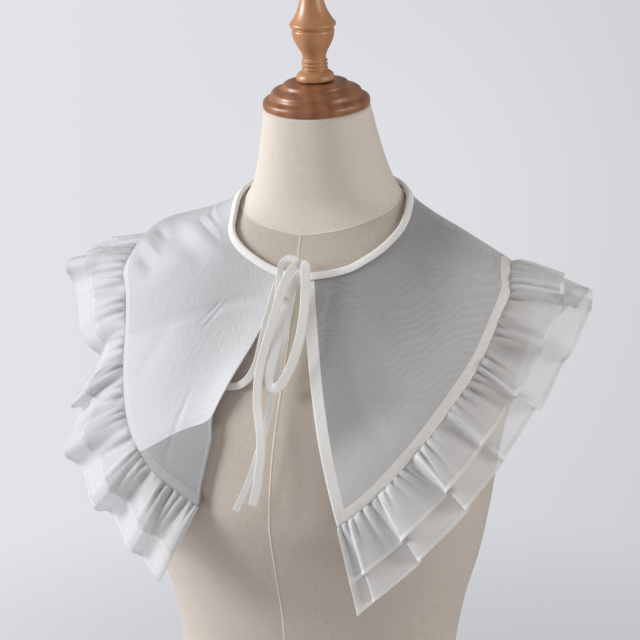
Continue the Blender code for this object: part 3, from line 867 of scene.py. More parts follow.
CORNER_CUTS = 2
front, behind = FORM_SECTIONS_MM[-1][2:]
NECK_FOOT = np.array([0, (behind - front) / 2 * MM, NECK_TOP])
NECK_AXIS = np.array([0, -math.sin(NECK_TILT), math.cos(NECK_TILT)])
NECK_SIDE = np.array([1, 0, 0])
NECK_AHEAD = np.cross(NECK_AXIS, NECK_SIDE)


def turned(name, node, profile_mm, wood):
    line = rounded(profile_mm, CORNER_CUTS) * MM
    turn = circle(TURNED_SIDES)[:, None]
    spokes = NECK_SIDE * np.cos(turn) + NECK_AHEAD * np.sin(turn)
    rings = [NECK_FOOT + NECK_AXIS * along + spokes * radius for radius, along in line[1:-1]]
    around = np.linspace(0, TURNED_ROUND, TURNED_SIDES + 1)
    piece = tube(name, rings, around, run_length(line)[1:-1], wood)
    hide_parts(node)


turned("cap_turning", "neck_cap", CAP_PROFILE_MM, cap_wood)
turned("finial_turning", "finial", FINIAL_PROFILE_MM, finial_wood)

BOARD_HALF_WIDTH = 175 * MM
BOARD_HALF_DEPTH = 122 * MM
BOARD_HEIGHT = 15 * MM
BOARD_EDGE = 4 * MM
BOARD_ROUND = 0.95
BOARD_RISE = 30 * MM
quarter = np.linspace(0, math.pi / 2, 8)
board_profile = [(BOARD_EDGE * (1 - math.sin(a)), BOARD_EDGE * (1 - math.cos(a))) for a in quarter]
board_profile += [(inset, BOARD_HEIGHT - height) for inset, height in reversed(board_profile)]
board_rings = []
for inset, height in board_profile:
    half_depth = BOARD_HALF_DEPTH - inset
    x, y = oval(turn, BOARD_HALF_WIDTH - inset, half_depth, half_depth)
    board_rings.append(np.stack([x, y, height + 0 * x], axis=-1))
around = np.linspace(0, BOARD_ROUND, FORM_SIDES + 1)
along = np.linspace(0, BOARD_RISE, len(board_rings))
board = tube("board_plank", board_rings, around, along, board_wood)
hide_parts("base_board")

# %% [markdown]
# ## The sheer panel
# The panel is laid out as rays from the neckline to the outer seam, the way a maker would drape
# it. It could be simulated, but the photo shows where it dips and swells, so soft bumps and
# creases are placed one by one, sharper ones as narrow ridges beside a trough.

# %% Lay out the panel
# Columns: angle from the front, height on the wearer's right, and on the left.
NECKLINE_MM = [
    (0, 541, 541), (13, 545.3, 543.2), (30, 555.5, 549), (41, 566, 558.3), (47.5, 575.5, 565),
    (53, 586, 571.2), (60, 592.5, 578), (68, 596.5, 585), (78, 600, 591), (93, 603, 596),
    (114, 605.5, 601.5), (130, 607, 605), (150, 609, 608.5), (180, 610, 610),
]
# Columns: seam angle, neckline angle, seam height on the wearer's right, and on the left.
OUTER_SEAM_MM = [
    (27.5, 4.5, 359, 354), (38, 12, 370, 375), (47, 20, 380, 399), (56, 29, 398, 427),
    (63, 38, 421, 452), (69, 48, 455, 476), (73, 57, 494, 499), (77.5, 67, 523, 525),
    (84, 79, 540, 541), (92, 91, 546, 546), (103, 104, 542, 542), (120, 121, 521, 521),
    (140, 141, 497, 497), (160, 160.5, 482, 482), (180, 180, 477, 477),
]
# Columns: height in mm, outward swing of the wearer's right front edge in degrees.
FRONT_SWING_MM = [
    (350, 1.2), (359, 1.2), (375, 2.4), (392, 3.5), (414, 5.1), (423, 7.2), (433, 8.7),
    (455, 7.7), (471, 6.6), (490, 5.1), (511, 3.6), (528, 2.0), (541, 0), (560, 0),
]
FRONT_SWING_FADE = 0.035
# Each row: share round the collar, share outward, spread of each, height in mm.
PANEL_SWELLS_MM = [
    (0.000, 0.48, 0.030, 0.20, 6.0),
    (0.225, 0.75, 0.012, 0.25, -1.6),
    (0.285, 1.00, 0.040, 0.40, 6.0),
    (0.100, 0.55, 0.030, 0.30, 2.0),
    (0.760, 0.80, 0.018, 0.25, 2.0),
    (0.860, 0.60, 0.040, 0.30, 2.2),
    (0.420, 0.75, 0.020, 0.30, 2.0),
    (0.500, 0.80, 0.020, 0.30, -1.2),
    (0.580, 0.75, 0.020, 0.30, 2.0),
]
# Two swells over the wearer's right shoulder that fade out just before the seam.
SHOULDER_SWELLS_MM = [
    (0.340, 0.45, 0.080, 0.50, 10.0),
    (0.290, 0.84, 0.032, 0.28, 7.0),
]
SHOULDER_FADE = 14
RAYS = 480
STEPS = 100
SEAM_FINE_POINTS = 1200
RAY_FINE_POINTS = 480


def seam_columns():
    seam = []
    for angle, start, right, left in OUTER_SEAM_MM:
        seam.append((-angle, -start, right))
    for angle, start, right, left in reversed(OUTER_SEAM_MM[:-1]):
        seam.append((-360 + angle, -360 + start, left))
    seam.sort(reverse=True)
    table = np.array(seam, float)
    return table[:, 0], table[:, 1], table[:, 2] * MM


def lay_out_panel():
    angles, starts, heights = seam_columns()
    fine = np.linspace(-angles[0], -angles[-1], SEAM_FINE_POINTS)
    fine_heights = smooth_rise(-angles, heights, fine)
    fine_starts = -smooth_rise(-angles, -starts, fine)
    run = run_length(cloth_point(np.radians(-fine), fine_heights))
    even = np.linspace(0, run[-1], RAYS + 1)
    seam_angle = -np.interp(even, run, fine)
    seam_height = np.interp(even, run, fine_heights)
    neck_angle = np.interp(even, run, fine_starts)
    share = np.linspace(0, 1, RAY_FINE_POINTS)
    rays = []
    for number in range(RAYS + 1):
        fold = abs((neck_angle[number] + 180) % 360 - 180)
        side = 1 if neck_angle[number] > -180 else 2
        neck_height = curve(NECKLINE_MM, side, fold) * MM
        height = neck_height + (seam_height[number] - neck_height) * share
        angle = neck_angle[number] + (seam_angle[number] - neck_angle[number]) * share
        fade = math.exp(-number / RAYS / FRONT_SWING_FADE)
        swing = curve(FRONT_SWING_MM, 1, height / MM)
        line = cloth_point(np.radians(angle - fade * swing), height)
        rays.append(along_line(line, np.linspace(0, 1, STEPS + 1)))
    return np.array(rays)


flat_panel = lay_out_panel()
flat_normals = grid_normals(flat_panel)
around = np.linspace(0, 1, RAYS + 1)[:, None]
outward = np.linspace(0, 1, STEPS + 1)[None, :]


def swells(table_mm):
    lift = np.zeros((RAYS + 1, STEPS + 1))
    for place, reach, spread, width, height_mm in table_mm:
        gap = ((around - place) / spread) ** 2 + ((outward - reach) / width) ** 2
        lift += height_mm * MM * np.exp(-gap)
    return lift


def lifted(lift):
    return flat_panel + flat_normals * (lift * outward**0.5)[..., None]


# The ruffle takes its direction from the seam before the shoulder swells are added.
lift = swells(PANEL_SWELLS_MM)
seam_normals = grid_normals(lifted(lift))[:, -1]
panel_grid = lifted(lift + swells(SHOULDER_SWELLS_MM) * (1 - outward**SHOULDER_FADE))
print("outer seam in metres:", round(float(run_length(panel_grid[:, -1])[-1]), 3))

# %% [markdown]
# A crease is a line on the cloth. Points near the line rise or sink by a soft bell curve, and the
# crease fades at both ends. A sharp crease is a narrow ridge with a shallow trough beside it.

# %% Creases of the panel
# Each row: share round the collar and share outward of three points on the cloth, then half
# width and height out of the cloth in mm.
CREASES = [
    (0.274, 0.82, 0.257, 0.69, 0.241, 0.60, 4.0, -2.0),
    (0.258, 0.92, 0.229, 0.76, 0.200, 0.66, 6.0, -2.2),
    (0.268, 0.90, 0.243, 0.73, 0.218, 0.62, 4.5, 1.8),
    (0.256, 0.40, 0.207, 0.24, 0.156, 0.11, 1.5, -1.5),
    (0.264, 0.38, 0.215, 0.21, 0.162, 0.09, 1.8, 1.3),
    (0.290, 0.40, 0.250, 0.28, 0.206, 0.17, 1.5, -1.1),
    (0.295, 0.37, 0.256, 0.25, 0.212, 0.15, 1.8, 1.0),
    (0.266, 0.53, 0.183, 0.24, 0.120, 0.08, 6.0, 1.8),
    (0.256, 0.62, 0.190, 0.36, 0.146, 0.22, 8.0, -1.8),
    (0.099, 0.40, 0.096, 0.34, 0.091, 0.24, 1.2, -0.8),
    (0.091, 0.40, 0.088, 0.34, 0.083, 0.23, 1.2, -0.7),
    (0.154, 0.68, 0.100, 0.31, 0.020, 0.09, 3.5, -0.55),
    (0.150, 0.72, 0.096, 0.36, 0.018, 0.14, 5.0, 0.55),
    (0.078, 1.00, 0.046, 0.78, 0.004, 0.64, 3.0, -0.5),
    (0.200, 0.20, 0.196, 0.50, 0.190, 0.78, 12.0, 1.2),
    (0.130, 0.95, 0.128, 0.74, 0.134, 0.52, 7.0, -0.9),
    (0.045, 0.96, 0.052, 0.80, 0.060, 0.60, 2.2, -0.7),
    (0.720, 0.36, 0.700, 0.52, 0.686, 0.66, 5.0, -1.2),
    (0.735, 0.30, 0.722, 0.60, 0.705, 0.90, 7.0, 1.2),
    (0.790, 0.12, 0.800, 0.40, 0.780, 0.66, 10.0, -1.0),
    (0.880, 0.10, 0.890, 0.45, 0.870, 0.90, 11.0, 0.9),
    (0.930, 0.30, 0.945, 0.60, 0.935, 0.95, 8.0, -0.8),
    (0.820, 0.55, 0.845, 0.75, 0.855, 0.98, 6.0, -0.8),
    (0.380, 0.10, 0.372, 0.50, 0.360, 0.98, 7.0, -1.6),
    (0.398, 0.16, 0.394, 0.55, 0.386, 0.95, 8.0, 1.5),
    (0.450, 0.10, 0.452, 0.55, 0.446, 1.00, 9.0, -1.5),
    (0.478, 0.22, 0.480, 0.60, 0.476, 1.00, 7.0, 1.3),
    (0.520, 0.12, 0.524, 0.50, 0.532, 0.98, 8.0, -1.3),
    (0.556, 0.20, 0.560, 0.60, 0.566, 1.00, 8.0, 1.3),
    (0.610, 0.08, 0.622, 0.48, 0.636, 0.98, 7.0, -1.6),
    (0.335, 0.20, 0.325, 0.58, 0.312, 0.98, 6.0, 1.3),
    (0.660, 0.20, 0.670, 0.60, 0.682, 0.98, 6.0, 1.2),
]
CREASE_POINTS = 40
# Creases start this share outward, clear of the binding.
CREASE_START = 0.06


def at_place(grid, place):
    """Point of the cloth at a share round it and a share outward."""
    i = place[0] * (grid.shape[0] - 1)
    j = place[1] * (grid.shape[1] - 1)
    a = int(min(i, grid.shape[0] - 2))
    b = int(min(j, grid.shape[1] - 2))
    s, t = i - a, j - b
    near = grid[a, b] * (1 - s) + grid[a + 1, b] * s
    far = grid[a, b + 1] * (1 - s) + grid[a + 1, b + 1] * s
    return near * (1 - t) + far * t


def crease_lift(grid, points, half_width, height):
    line = rounded([at_place(grid, place) for place in points], 3)
    line = along_line(line, np.linspace(0, 1, CREASE_POINTS))
    gaps = np.linalg.norm(grid.reshape(-1, 1, 3) - line[None], axis=2)
    nearest = gaps.argmin(axis=1)
    fade = np.sin(math.pi * (nearest + 0.5) / CREASE_POINTS) ** 0.7
    lift = height * np.exp(-((gaps.min(axis=1) / half_width) ** 2)) * fade
    return lift.reshape(grid.shape[:2])


creased = np.zeros(panel_grid.shape[:2])
for *places, half_width_mm, height_mm in CREASES:
    points = np.reshape(places, (3, 2))
    creased += crease_lift(panel_grid, points, half_width_mm * MM, height_mm * MM)
keep_neck = np.clip(outward / CREASE_START, 0, 1)
panel_grid = panel_grid + grid_normals(panel_grid) * (creased * keep_neck)[..., None]
panel_normals = grid_normals(panel_grid)
print("creases:", len(CREASES), "deepest in mm:", round(float(creased.min()) * 1000, 1))

# %% Sew the panel
PANEL_THICKNESS = 0.6 * MM
FACING_WIDTHS = (4.5 * MM, 10 * MM)
CLOTH_ROUND = 0.78
LAYER_SCALE = 10
# Each line on the cloth: shares round the collar, and how far outward the line lies at each.
# The denser part ends at the low line, and its densest part starts at the high one. The densest
# part also stands for a band of light, and past the low line the cloth is painted darker as shade.
LOW_LINE = ([0, 0.004, 0.046, 0.078, 0.2, 1], [0.62, 0.64, 0.78, 1.0, 1.9, 8])
HIGH_LINE = ([0, 0.067, 0.133, 0.163, 0.185, 1], [0.08, 0.21, 0.55, 0.81, 1.0, 9])
ray_run = np.array([run_length(ray) for ray in panel_grid])
row_run = np.array([run_length(panel_grid[:, j]) for j in range(STEPS + 1)]).T
to_seam = (ray_run[:, -1:] - ray_run) / SEAM_BAND
to_front = np.minimum(row_run / FACING_WIDTHS[0], (row_run[-1] - row_run) / FACING_WIDTHS[1])
low_line = smooth_rise(*LOW_LINE, around)
high_line = smooth_rise(*HIGH_LINE, around)
maps = {
    "cloth": (around * CLOTH_ROUND, ray_run),
    "edges": (to_front, to_seam),
    "layers": ((low_line - outward) * LAYER_SCALE, (outward - high_line) * LAYER_SCALE),
    "sides": (around, outward),
}
panel = sheet("panel_cloth", panel_grid, panel_normals, PANEL_THICKNESS, maps, organza)
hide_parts("collar_panel")

# %% [markdown]
# ## The gathered ruffles
# A strip about 1.6 times as long as the seam is drawn up on a thread and sewn in. Close to the
# seam it is packed in many small gathers. Further out these join into broad waves. The broad
# waves are those of the solid, and the small gathers are added to them. A second, narrower strip
# lies on the first and follows it, a little apart at its hem.

# %% Ruffle settings
UNDER_WIDTH = 67 * MM
HEM_WAVE = 8.0 * MM
SEAM_WAVE = 0.4 * MM
RUFFLE_GAP = 0.15 * MM
UPPER_SHARE = 0.66
CREST_LEAN = 8.5 * MM
BACK_TURN_SHARE = 0.06
# Each wide fold: share along the seam, height of its crest.
RUFFLE_FOLDS = [
    (0.000, 0.50), (0.035, 0.90), (0.075, 1.40), (0.115, 0.70), (0.157, 1.45), (0.207, 0.45),
    (0.262, 1.10), (0.296, 0.75), (0.330, 1.00), (0.370, 1.10), (0.410, 0.90), (0.455, 1.20),
    (0.500, 0.95), (0.545, 1.15), (0.585, 0.90), (0.630, 1.10), (0.675, 1.00), (0.712, 0.90),
    (0.750, 1.45), (0.785, 0.85), (0.822, 1.50), (0.865, 0.85), (0.908, 1.50), (0.953, 1.35),
    (0.985, 0.80), (1.000, 0.50),
]
# Columns: share along the seam, lift in degrees, droop of the hem in mm, width share.
RUFFLE_SET_MM = [
    (0, 9, 0, 1.00), (0.03, 10, 0, 0.92), (0.07, 12, 1, 0.84), (0.11, 22, 3, 0.94),
    (0.15, 12, 10, 0.84), (0.185, 9, 14, 0.68), (0.215, 14, 8, 0.86), (0.25, 22, 3, 0.99),
    (0.29, 26, 3, 0.97), (0.33, 18, 6, 0.94), (0.38, 14, 6, 0.92), (0.5, 12, 2, 0.92),
    (0.62, 14, 6, 0.92), (0.7, 20, 6, 0.95), (0.75, 32, 0, 0.99), (0.8, 20, 2, 0.90),
    (0.85, 12, 2, 0.82), (0.91, 12, 1, 0.86), (0.96, 10, 0, 0.90), (1, 9, 0, 1.00),
]
END_LEAN_DEGREES = (26, 21)
END_LEAN_SHARE = 0.03
STATIONS = 1440
GATHERS = 126
GATHER_HEIGHT = 1.6 * MM
SEWN_UNDER = 1.3 * MM
# In metres, for the maps: the seam's length, and that of the strip before it is gathered.
SEAM_LENGTH = 1.0
STRIP_LENGTH = 1.62
NORMAL_SMOOTHING = 764
TANGENT_SMOOTHING = 2500
FOLD_EDGE_PHASE = 0.9
print("wide folds along the seam:", len(RUFFLE_FOLDS))

# %% Ruffle frame along the seam
share = np.linspace(0, 1, STATIONS + 1)
seam_edge = panel_grid[:, -1]
edge = along_line(seam_edge, share)
out = unit(along_line(seam_edge, share, smoothed(seam_normals, NORMAL_SMOOTHING)))
tangent = unit(smoothed(np.gradient(edge, axis=0), TANGENT_SMOOTHING))
away = unit(np.cross(out, tangent))
inward = edge - along_line(panel_grid[:, -4], share)
away *= np.sign(np.sum(away * inward, axis=1))[:, None]
for end, side, lean in ((0, -1, END_LEAN_DEGREES[0]), (1, 1, END_LEAN_DEGREES[1])):
    angle = math.radians(lean)
    straight = np.array([side * math.sin(angle), -0.05, -math.cos(angle)])
    near = np.exp(-((np.abs(share - end) / END_LEAN_SHARE) ** 2))[:, None]
    away = unit(away * (1 - near) + straight * near)
raised = np.radians(curve(RUFFLE_SET_MM, 1, share))[:, None]
droop = curve(RUFFLE_SET_MM, 2, share)[:, None] * MM
ruffle_width = curve(RUFFLE_SET_MM, 3, share)[:, None] * UNDER_WIDTH
heading = away * np.cos(raised) + out * np.sin(raised)
face = out * np.cos(raised) - away * np.sin(raised)
print("ruffle widths in mm:", np.round(ruffle_width[::240, 0] * 1000, 1))

# %% [markdown]
# Each small gather has its own height and drifts a little, so no two look alike. The numbers come
# from a seeded generator, which gives the same ruffle every time.

# %% Waves and gathers
dice = np.random.default_rng(7)


def drifting(knots, low, high):
    """Smooth random values along the ruffle."""
    values = dice.uniform(low, high, knots + 1)
    return smooth_rise(np.linspace(0, 1, knots + 1), values, share)[:, None]


def puffed(phase, sharpness):
    """A wave with wide crests and narrow hollows, from -1 to 1."""
    return 1 - 2 * ((1 - np.sin(phase)) / 2) ** sharpness


crest_shares = [place for place, height in RUFFLE_FOLDS]
crest_phases = FULL_TURN * np.arange(len(crest_shares))
fold_phase = smooth_rise(crest_shares, crest_phases, share)[:, None]
fold_height = curve(RUFFLE_FOLDS, 1, share)[:, None]
to_point = np.tanh((share - 0.5) / BACK_TURN_SHARE)[:, None]
gather_phase = FULL_TURN * GATHERS * share[:, None] + drifting(56, -2.2, 2.2)
gather_size = drifting(115, 0.25, 1.35)
gather_length = drifting(118, 0.14, 0.46)
gather_slant = drifting(40, -1.4, 1.4)
middle_phase = gather_phase * 0.42 + drifting(30, -1.2, 1.2)
middle_size = drifting(64, 0.0, 1.5)
hem_phase = gather_phase * 0.21 + drifting(24, -1.5, 1.5)
hem_size = drifting(40, -0.7, 0.9)


def gathers(reach):
    """Small gathers near the seam and the longer folds that they join into."""
    fading = np.exp(-((reach / gather_length) ** 1.4))
    sewn_flat = 1 - 0.6 * np.exp(-reach / 0.035)
    small = puffed(gather_phase + gather_slant * reach, 2.0) * gather_size * fading * sewn_flat
    middle = puffed(middle_phase + gather_slant * reach, 1.5) * middle_size
    middle = middle * 1.25 * (1 - np.exp(-reach / 0.12)) * np.exp(-((reach / 0.66) ** 2))
    return small, middle


def cloth_relief(reach):
    """How far the cloth stands out of its plane, for each station and each reach."""
    grown = SEAM_WAVE + (HEM_WAVE - SEAM_WAVE) * reach**0.8
    broad = fold_height * np.cos(fold_phase) * grown
    broad = broad + SEAM_WAVE * np.sin(2 * fold_phase + 0.7) * (1 - reach)
    small, middle = gathers(reach)
    loose = np.sin(hem_phase) * hem_size * reach
    return broad + GATHER_HEIGHT * (small + middle + loose)


def hollow_map(reach):
    """How much painted shade the cloth gets between its gathers, and how crowded it is, each from
    0 to 1.

    The folded edge of each wide fold is crowded and gets no painted shade, and the cloth behind it
    gets a painted shadow.
    """
    small, middle = gathers(reach)
    # Painted shade: deep in the small gathers near the seam, wide in the longer folds, and a
    # painted shadow behind each folded edge.
    deep = np.clip(-1.5 * small - 0.2, 0, 1) * np.clip(1.25 - 2.2 * reach, 0, 1)
    wide = np.clip(-middle - 0.1, 0, 1) * 0.45
    beside = (fold_phase - FOLD_EDGE_PHASE + math.pi) % FULL_TURN - math.pi
    running = np.clip(fold_height - 0.5, 0, 1) * np.clip(reach * 7, 0, 1)
    folded_edge = np.exp(-((beside / 0.15) ** 2)) * running
    behind_edge = np.exp(-(((beside + 0.55) / 0.38) ** 2)) * running * 0.5
    dark = np.clip(deep + wide + behind_edge - folded_edge, 0, 1)
    return dark, np.clip(deep * 1.2 + wide + folded_edge, 0, 1)


print("gathers along the seam:", GATHERS)

# %% Lay the long ruffle
def ruffle_rows(width_share, count):
    """Reach of each row, closer at the seam and in the folded hem."""
    hem_share = HEM_FOLD / (UNDER_WIDTH * 0.9)
    body = np.linspace(0, 1, count) ** 1.2 * (width_share - hem_share)
    hem = width_share - hem_share + np.array([0.25, 0.5, 0.75, 0.92, 1.0]) * hem_share
    return np.concatenate([body, hem])[None, :]


def lay_ruffle(reach):
    base = (edge + heading * RUFFLE_GAP)[:, None]
    cloth = base + heading[:, None] * (ruffle_width * reach)[..., None]
    tucked = SEWN_UNDER * np.exp(-reach / 0.05)
    cloth = cloth + face[:, None] * (cloth_relief(reach) - tucked)[..., None]
    crest_shift = to_point * CREST_LEAN * fold_height * np.cos(fold_phase) * reach
    cloth = cloth + tangent[:, None] * crest_shift[..., None]
    cloth[..., 2] -= droop * reach**2
    return cloth


def outward_normals(cloth):
    normals = grid_normals(cloth)
    return normals * np.sign(np.sum(normals * face[:, None], axis=-1))[..., None]


under_reach = ruffle_rows(1.0, 20)
under_grid = lay_ruffle(under_reach)
under_normals = outward_normals(under_grid)
under_length = run_length(under_grid[:, -1])[-1]
print("stretched hem of the long ruffle in metres:", round(float(under_length), 3))

# %% [markdown]
# The upper strip starts where the lower one does and lies on it. It is laid out from the lower
# strip's broad waves with its own small gathers, and lifts away from it towards its hem.

# %% Both ruffle tiers
RUFFLE_THICKNESS = 0.45 * MM
HEM_THICKNESS = 0.9 * MM
TIER_AT_SEAM = 1.1 * MM
TIER_AT_HEM = 3.0 * MM


def sew_ruffle(name, node, cloth, normals, reach, width_share):
    hem_run = ruffle_width * (width_share - reach)
    to_end = np.minimum(share, 1 - share)[:, None] * SEAM_LENGTH / HEM_FOLD
    thickness = np.where(hem_run < HEM_FOLD, HEM_THICKNESS, RUFFLE_THICKNESS)
    maps = {
        "cloth": (share[:, None] * STRIP_LENGTH, ruffle_width * reach),
        "edges": (to_end, hem_run / HEM_FOLD),
        "folds": hollow_map(reach),
    }
    piece = sheet(name, cloth, normals, thickness, maps, organza_ruffle)
    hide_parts(node)
    return piece


ruffle_under = sew_ruffle(
    "ruffle_long", "ruffle_under", under_grid, under_normals, under_reach, 1.0
)
upper_reach = ruffle_rows(UPPER_SHARE, 15)
upper_base = lay_ruffle(upper_reach)
rising = np.minimum(upper_reach * 1.6, 1)[..., None]
lift_off = unit(outward_normals(upper_base) * rising + face[:, None])
apart = TIER_AT_SEAM + (TIER_AT_HEM - TIER_AT_SEAM) * (upper_reach / UPPER_SHARE)
own_wave = drifting(34, -0.8, 1.2) * MM * (upper_reach / UPPER_SHARE) ** 2
upper_grid = upper_base + lift_off * (apart + own_wave)[..., None]
upper_normals = outward_normals(upper_grid)
ruffle_upper = sew_ruffle(
    "ruffle_short", "ruffle_upper", upper_grid, upper_normals, upper_reach, UPPER_SHARE
)

# %% [markdown]
# ## The neck binding
# A bias strip is folded over the raw neck edge and stitched through all layers. It is a U in
# section, so the mesh is a closed loop of points swept round the neck.

# %% Binding
BINDING_DEPTH = 5 * MM
BINDING_TOP = 1.4 * MM
BINDING_HALF = 1.9 * MM
BINDING_INSIDE = 1.2 * MM
BINDING_END = 0.7 * MM
BINDING_ROUNDING = 0.86
FOLD_TOP = -0.4 * MM
BINDING_RINGS = 900
LOWER_ROW = 7
BINDING_SMOOTHING = 36
PUCKER = 0.10 * MM
PUCKER_LENGTHS = (5.3 * MM, 71 * MM)
near_end = BINDING_DEPTH * BINDING_ROUNDING
near_side = BINDING_HALF * BINDING_ROUNDING
outer_bend = [(BINDING_DEPTH, near_side), (near_end, BINDING_HALF), (0.0, BINDING_HALF)]
over_top = []
for a in np.linspace(0.35, math.pi - 0.35, 9):
    over_top.append((-BINDING_TOP * math.sin(a), BINDING_HALF * math.cos(a)))
inner_side = [(down, -high) for down, high in reversed(outer_bend)]
fold_inside = [(BINDING_DEPTH, -BINDING_INSIDE), (FOLD_TOP, -BINDING_INSIDE)]
fold_inside += [(FOLD_TOP, BINDING_INSIDE), (BINDING_DEPTH, BINDING_INSIDE)]
binding_profile = outer_bend + over_top + inner_side + fold_inside
neck_share = np.linspace(0, 1, BINDING_RINGS + 1)
neck_edge = along_line(panel_grid[:, 0], neck_share)
fall = along_line(panel_grid[:, 0], neck_share, panel_grid[:, LOWER_ROW]) - neck_edge
fall_length = np.linalg.norm(fall, axis=1, keepdims=True)
fall = fall / fall_length
normals = []
for row in (0, LOWER_ROW):
    even_normals = smoothed(panel_normals[:, row], BINDING_SMOOTHING)
    normals.append(unit(along_line(panel_grid[:, 0], neck_share, even_normals)))
near_normal, far_normal = normals
onward = unit(np.gradient(neck_edge, axis=0))
past_end = np.zeros((BINDING_RINGS + 1, 1))
past_end[[0, -1], 0] = -BINDING_END, BINDING_END
neck_run = run_length(neck_edge)[:, None]
pucker = PUCKER * np.sin(neck_run * FULL_TURN / PUCKER_LENGTHS[0])
pucker = pucker * np.sin(neck_run * FULL_TURN / PUCKER_LENGTHS[1])
binding_rings = np.empty((BINDING_RINGS + 1, len(binding_profile), 3))
for number, (down, high) in enumerate(binding_profile):
    blend = max(down, 0) / fall_length
    outwards = unit(near_normal * (1 - blend) + far_normal * blend)
    on_outside = abs(high) > BINDING_INSIDE * 1.1 and down > 0
    uneven = pucker * np.sign(high) * on_outside
    point = neck_edge + fall * down + outwards * (high + uneven) + onward * past_end
    binding_rings[:, number] = point
profile_map = np.array([down for down, high in binding_profile + binding_profile[:1]])
along = neck_run[:, 0]
binding = tube("binding_strip", binding_rings, profile_map, along, binding_cloth)
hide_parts("neck_binding")

# %% [markdown]
# ## The bow
# The ties are the same strip, folded and stitched flat, about 8 mm wide. Each piece of the bow
# follows its solid's line, smoothed to a flowing curve, with its broad side to the front.

# %% Ties
TIE_THICKNESS = 1.6 * MM
TIE_WIDTHS_MM = {
    "bow_knot": 8.0,
    "loop_top": 5.0,
    "loop_right": 7.6,
    "loop_left": 6.0,
    "tail_left": 7.0,
    "tail_right": 5.2,
}
# Each point: across to the wearer's left, height, and distance in front of the resting cloth.
TIE_LINES_MM = {
    "bow_knot": [
        (9.1, 546.4, 6.4), (7.4, 543.8, 9.2), (5.7, 540.6, 11.6), (3.6, 536.1, 12.7),
        (1.9, 531.1, 12.9), (-0.2, 526.3, 12.6),
    ],
    "loop_top": [
        (4.2, 552.7, 8.2), (0.8, 555.9, 9.4), (-4.1, 556.2, 10), (-8.1, 553.3, 10),
        (-9.7, 548, 10), (-9.5, 542, 10.8), (-8.5, 536.3, 12.6), (-7.5, 530.5, 14.2),
        (-7.3, 523.8, 14.7),
    ],
    "loop_right": [
        (11.2, 555.2, 14.2), (12.4, 552.9, 15), (13.5, 548.6, 15), (14.4, 537.8, 13.8),
        (15.4, 525.6, 12.8), (16, 508.7, 12.6), (14.2, 488, 12), (9.8, 472.1, 11),
        (4.2, 460.1, 9.5), (-2.4, 456.5, 9), (-7, 462, 10.5), (-5.3, 474.9, 12.2),
        (-3.4, 490.4, 13.2), (-3.1, 507.9, 13), (-2.2, 519.9, 11.2), (-0.8, 528.9, 9.8),
    ],
    "loop_left": [
        (-12.6, 536.2, 4.6), (-14, 525.5, 5.2), (-16.1, 512.6, 6.2), (-17.6, 501.3, 7),
        (-18.6, 488.5, 7.2), (-19.9, 475.5, 5.6), (-24.7, 464.1, 2.4), (-31.4, 456.7, -0.2),
        (-39.2, 454, -0.9), (-47.2, 453.7, -0.9),
    ],
    "tail_left": [
        (11.1, 550, 8.8), (8.4, 552.4, 11.4), (5.7, 552.4, 14.4), (2.9, 549.4, 16.4),
        (0.3, 544.4, 17.2), (-2.5, 537.4, 17.4), (-4.6, 528.2, 17.4), (-6.2, 518.3, 17.2),
        (-8.9, 502.3, 17), (-12.6, 485.5, 16), (-14.7, 470.3, 14.5), (-14, 455.4, 13),
        (-11.8, 442.1, 12), (-8, 430.7, 12), (-4.9, 420, 12), (-3.8, 403, 12), (-4.8, 387, 12),
        (-8, 370, 12),
    ],
    "tail_right": [
        (2.5, 538.5, 6.5), (2, 520, 6.5), (0, 495, 6.5), (-1.5, 470, 6), (-3, 452, 5.5),
        (-4, 436, 6), (-5, 425, 7), (-8, 411, 7.5), (-10, 399, 8), (-14, 385, 8), (-24, 363, 8),
    ],
}
FINE_RINGS = 12
STRAP_SIDES = 24
STRAP_FRONT = np.array([0.25, -1, 0.2])
SOFT_START = 4.5 * MM


def flowing(points, per_span):
    """A smooth curve through a line of points."""
    line = np.concatenate([2 * points[:1] - points[1:2], points, 2 * points[-1:] - points[-2:-1]])
    smooth_points = []
    for i in range(1, len(line) - 2):
        a, b, c, d = line[i - 1], line[i], line[i + 1], line[i + 2]
        for t in np.arange(per_span) / per_span:
            near = 2 * b + (c - a) * t + (2 * a - 5 * b + 4 * c - d) * t * t
            smooth_points.append((near + (3 * b - a - 3 * c + d) * t**3) / 2)
    return np.array(smooth_points + [line[-2]])


def strap_rings(line, width, thickness, soft_start):
    """Rings of a flat strap along a line, with their maps. A soft start narrows its first end."""
    rows = np.linspace(0, 1, len(line))
    halves = np.linspace(0, 1, 2 * len(line) - 1)
    path = np.stack([np.interp(halves, rows, line[:, axis]) for axis in range(3)], axis=-1)
    path = flowing(smoothed(path, 2), FINE_RINGS)
    ahead = unit(np.gradient(path, axis=0))
    broad = unit(smoothed(unit(np.cross(ahead, STRAP_FRONT)), 30))
    front_face = unit(np.cross(broad, ahead))
    outline = []
    for a in np.linspace(-math.pi, math.pi, STRAP_SIDES, endpoint=False):
        wide = np.sign(math.cos(a)) * abs(math.cos(a)) ** 0.35
        deep = np.sign(math.sin(a)) * abs(math.sin(a)) ** 0.5
        edge_ridge = 1 - 0.22 * (1 - wide**2)
        outline.append((width / 2 * wide, thickness / 2 * deep * edge_ridge))
    run = run_length(path)
    narrow = np.ones(len(run))
    if soft_start:
        narrow = np.sqrt(np.clip((run + 0.3 * MM) / SOFT_START, 0, 1))
    rings = []
    for p, b, f, n in zip(path, broad, front_face, narrow):
        rings.append([p + b * a * n + f * c for a, c in outline])
    return np.array(rings), np.array([a for a, c in outline + outline[:1]]), run


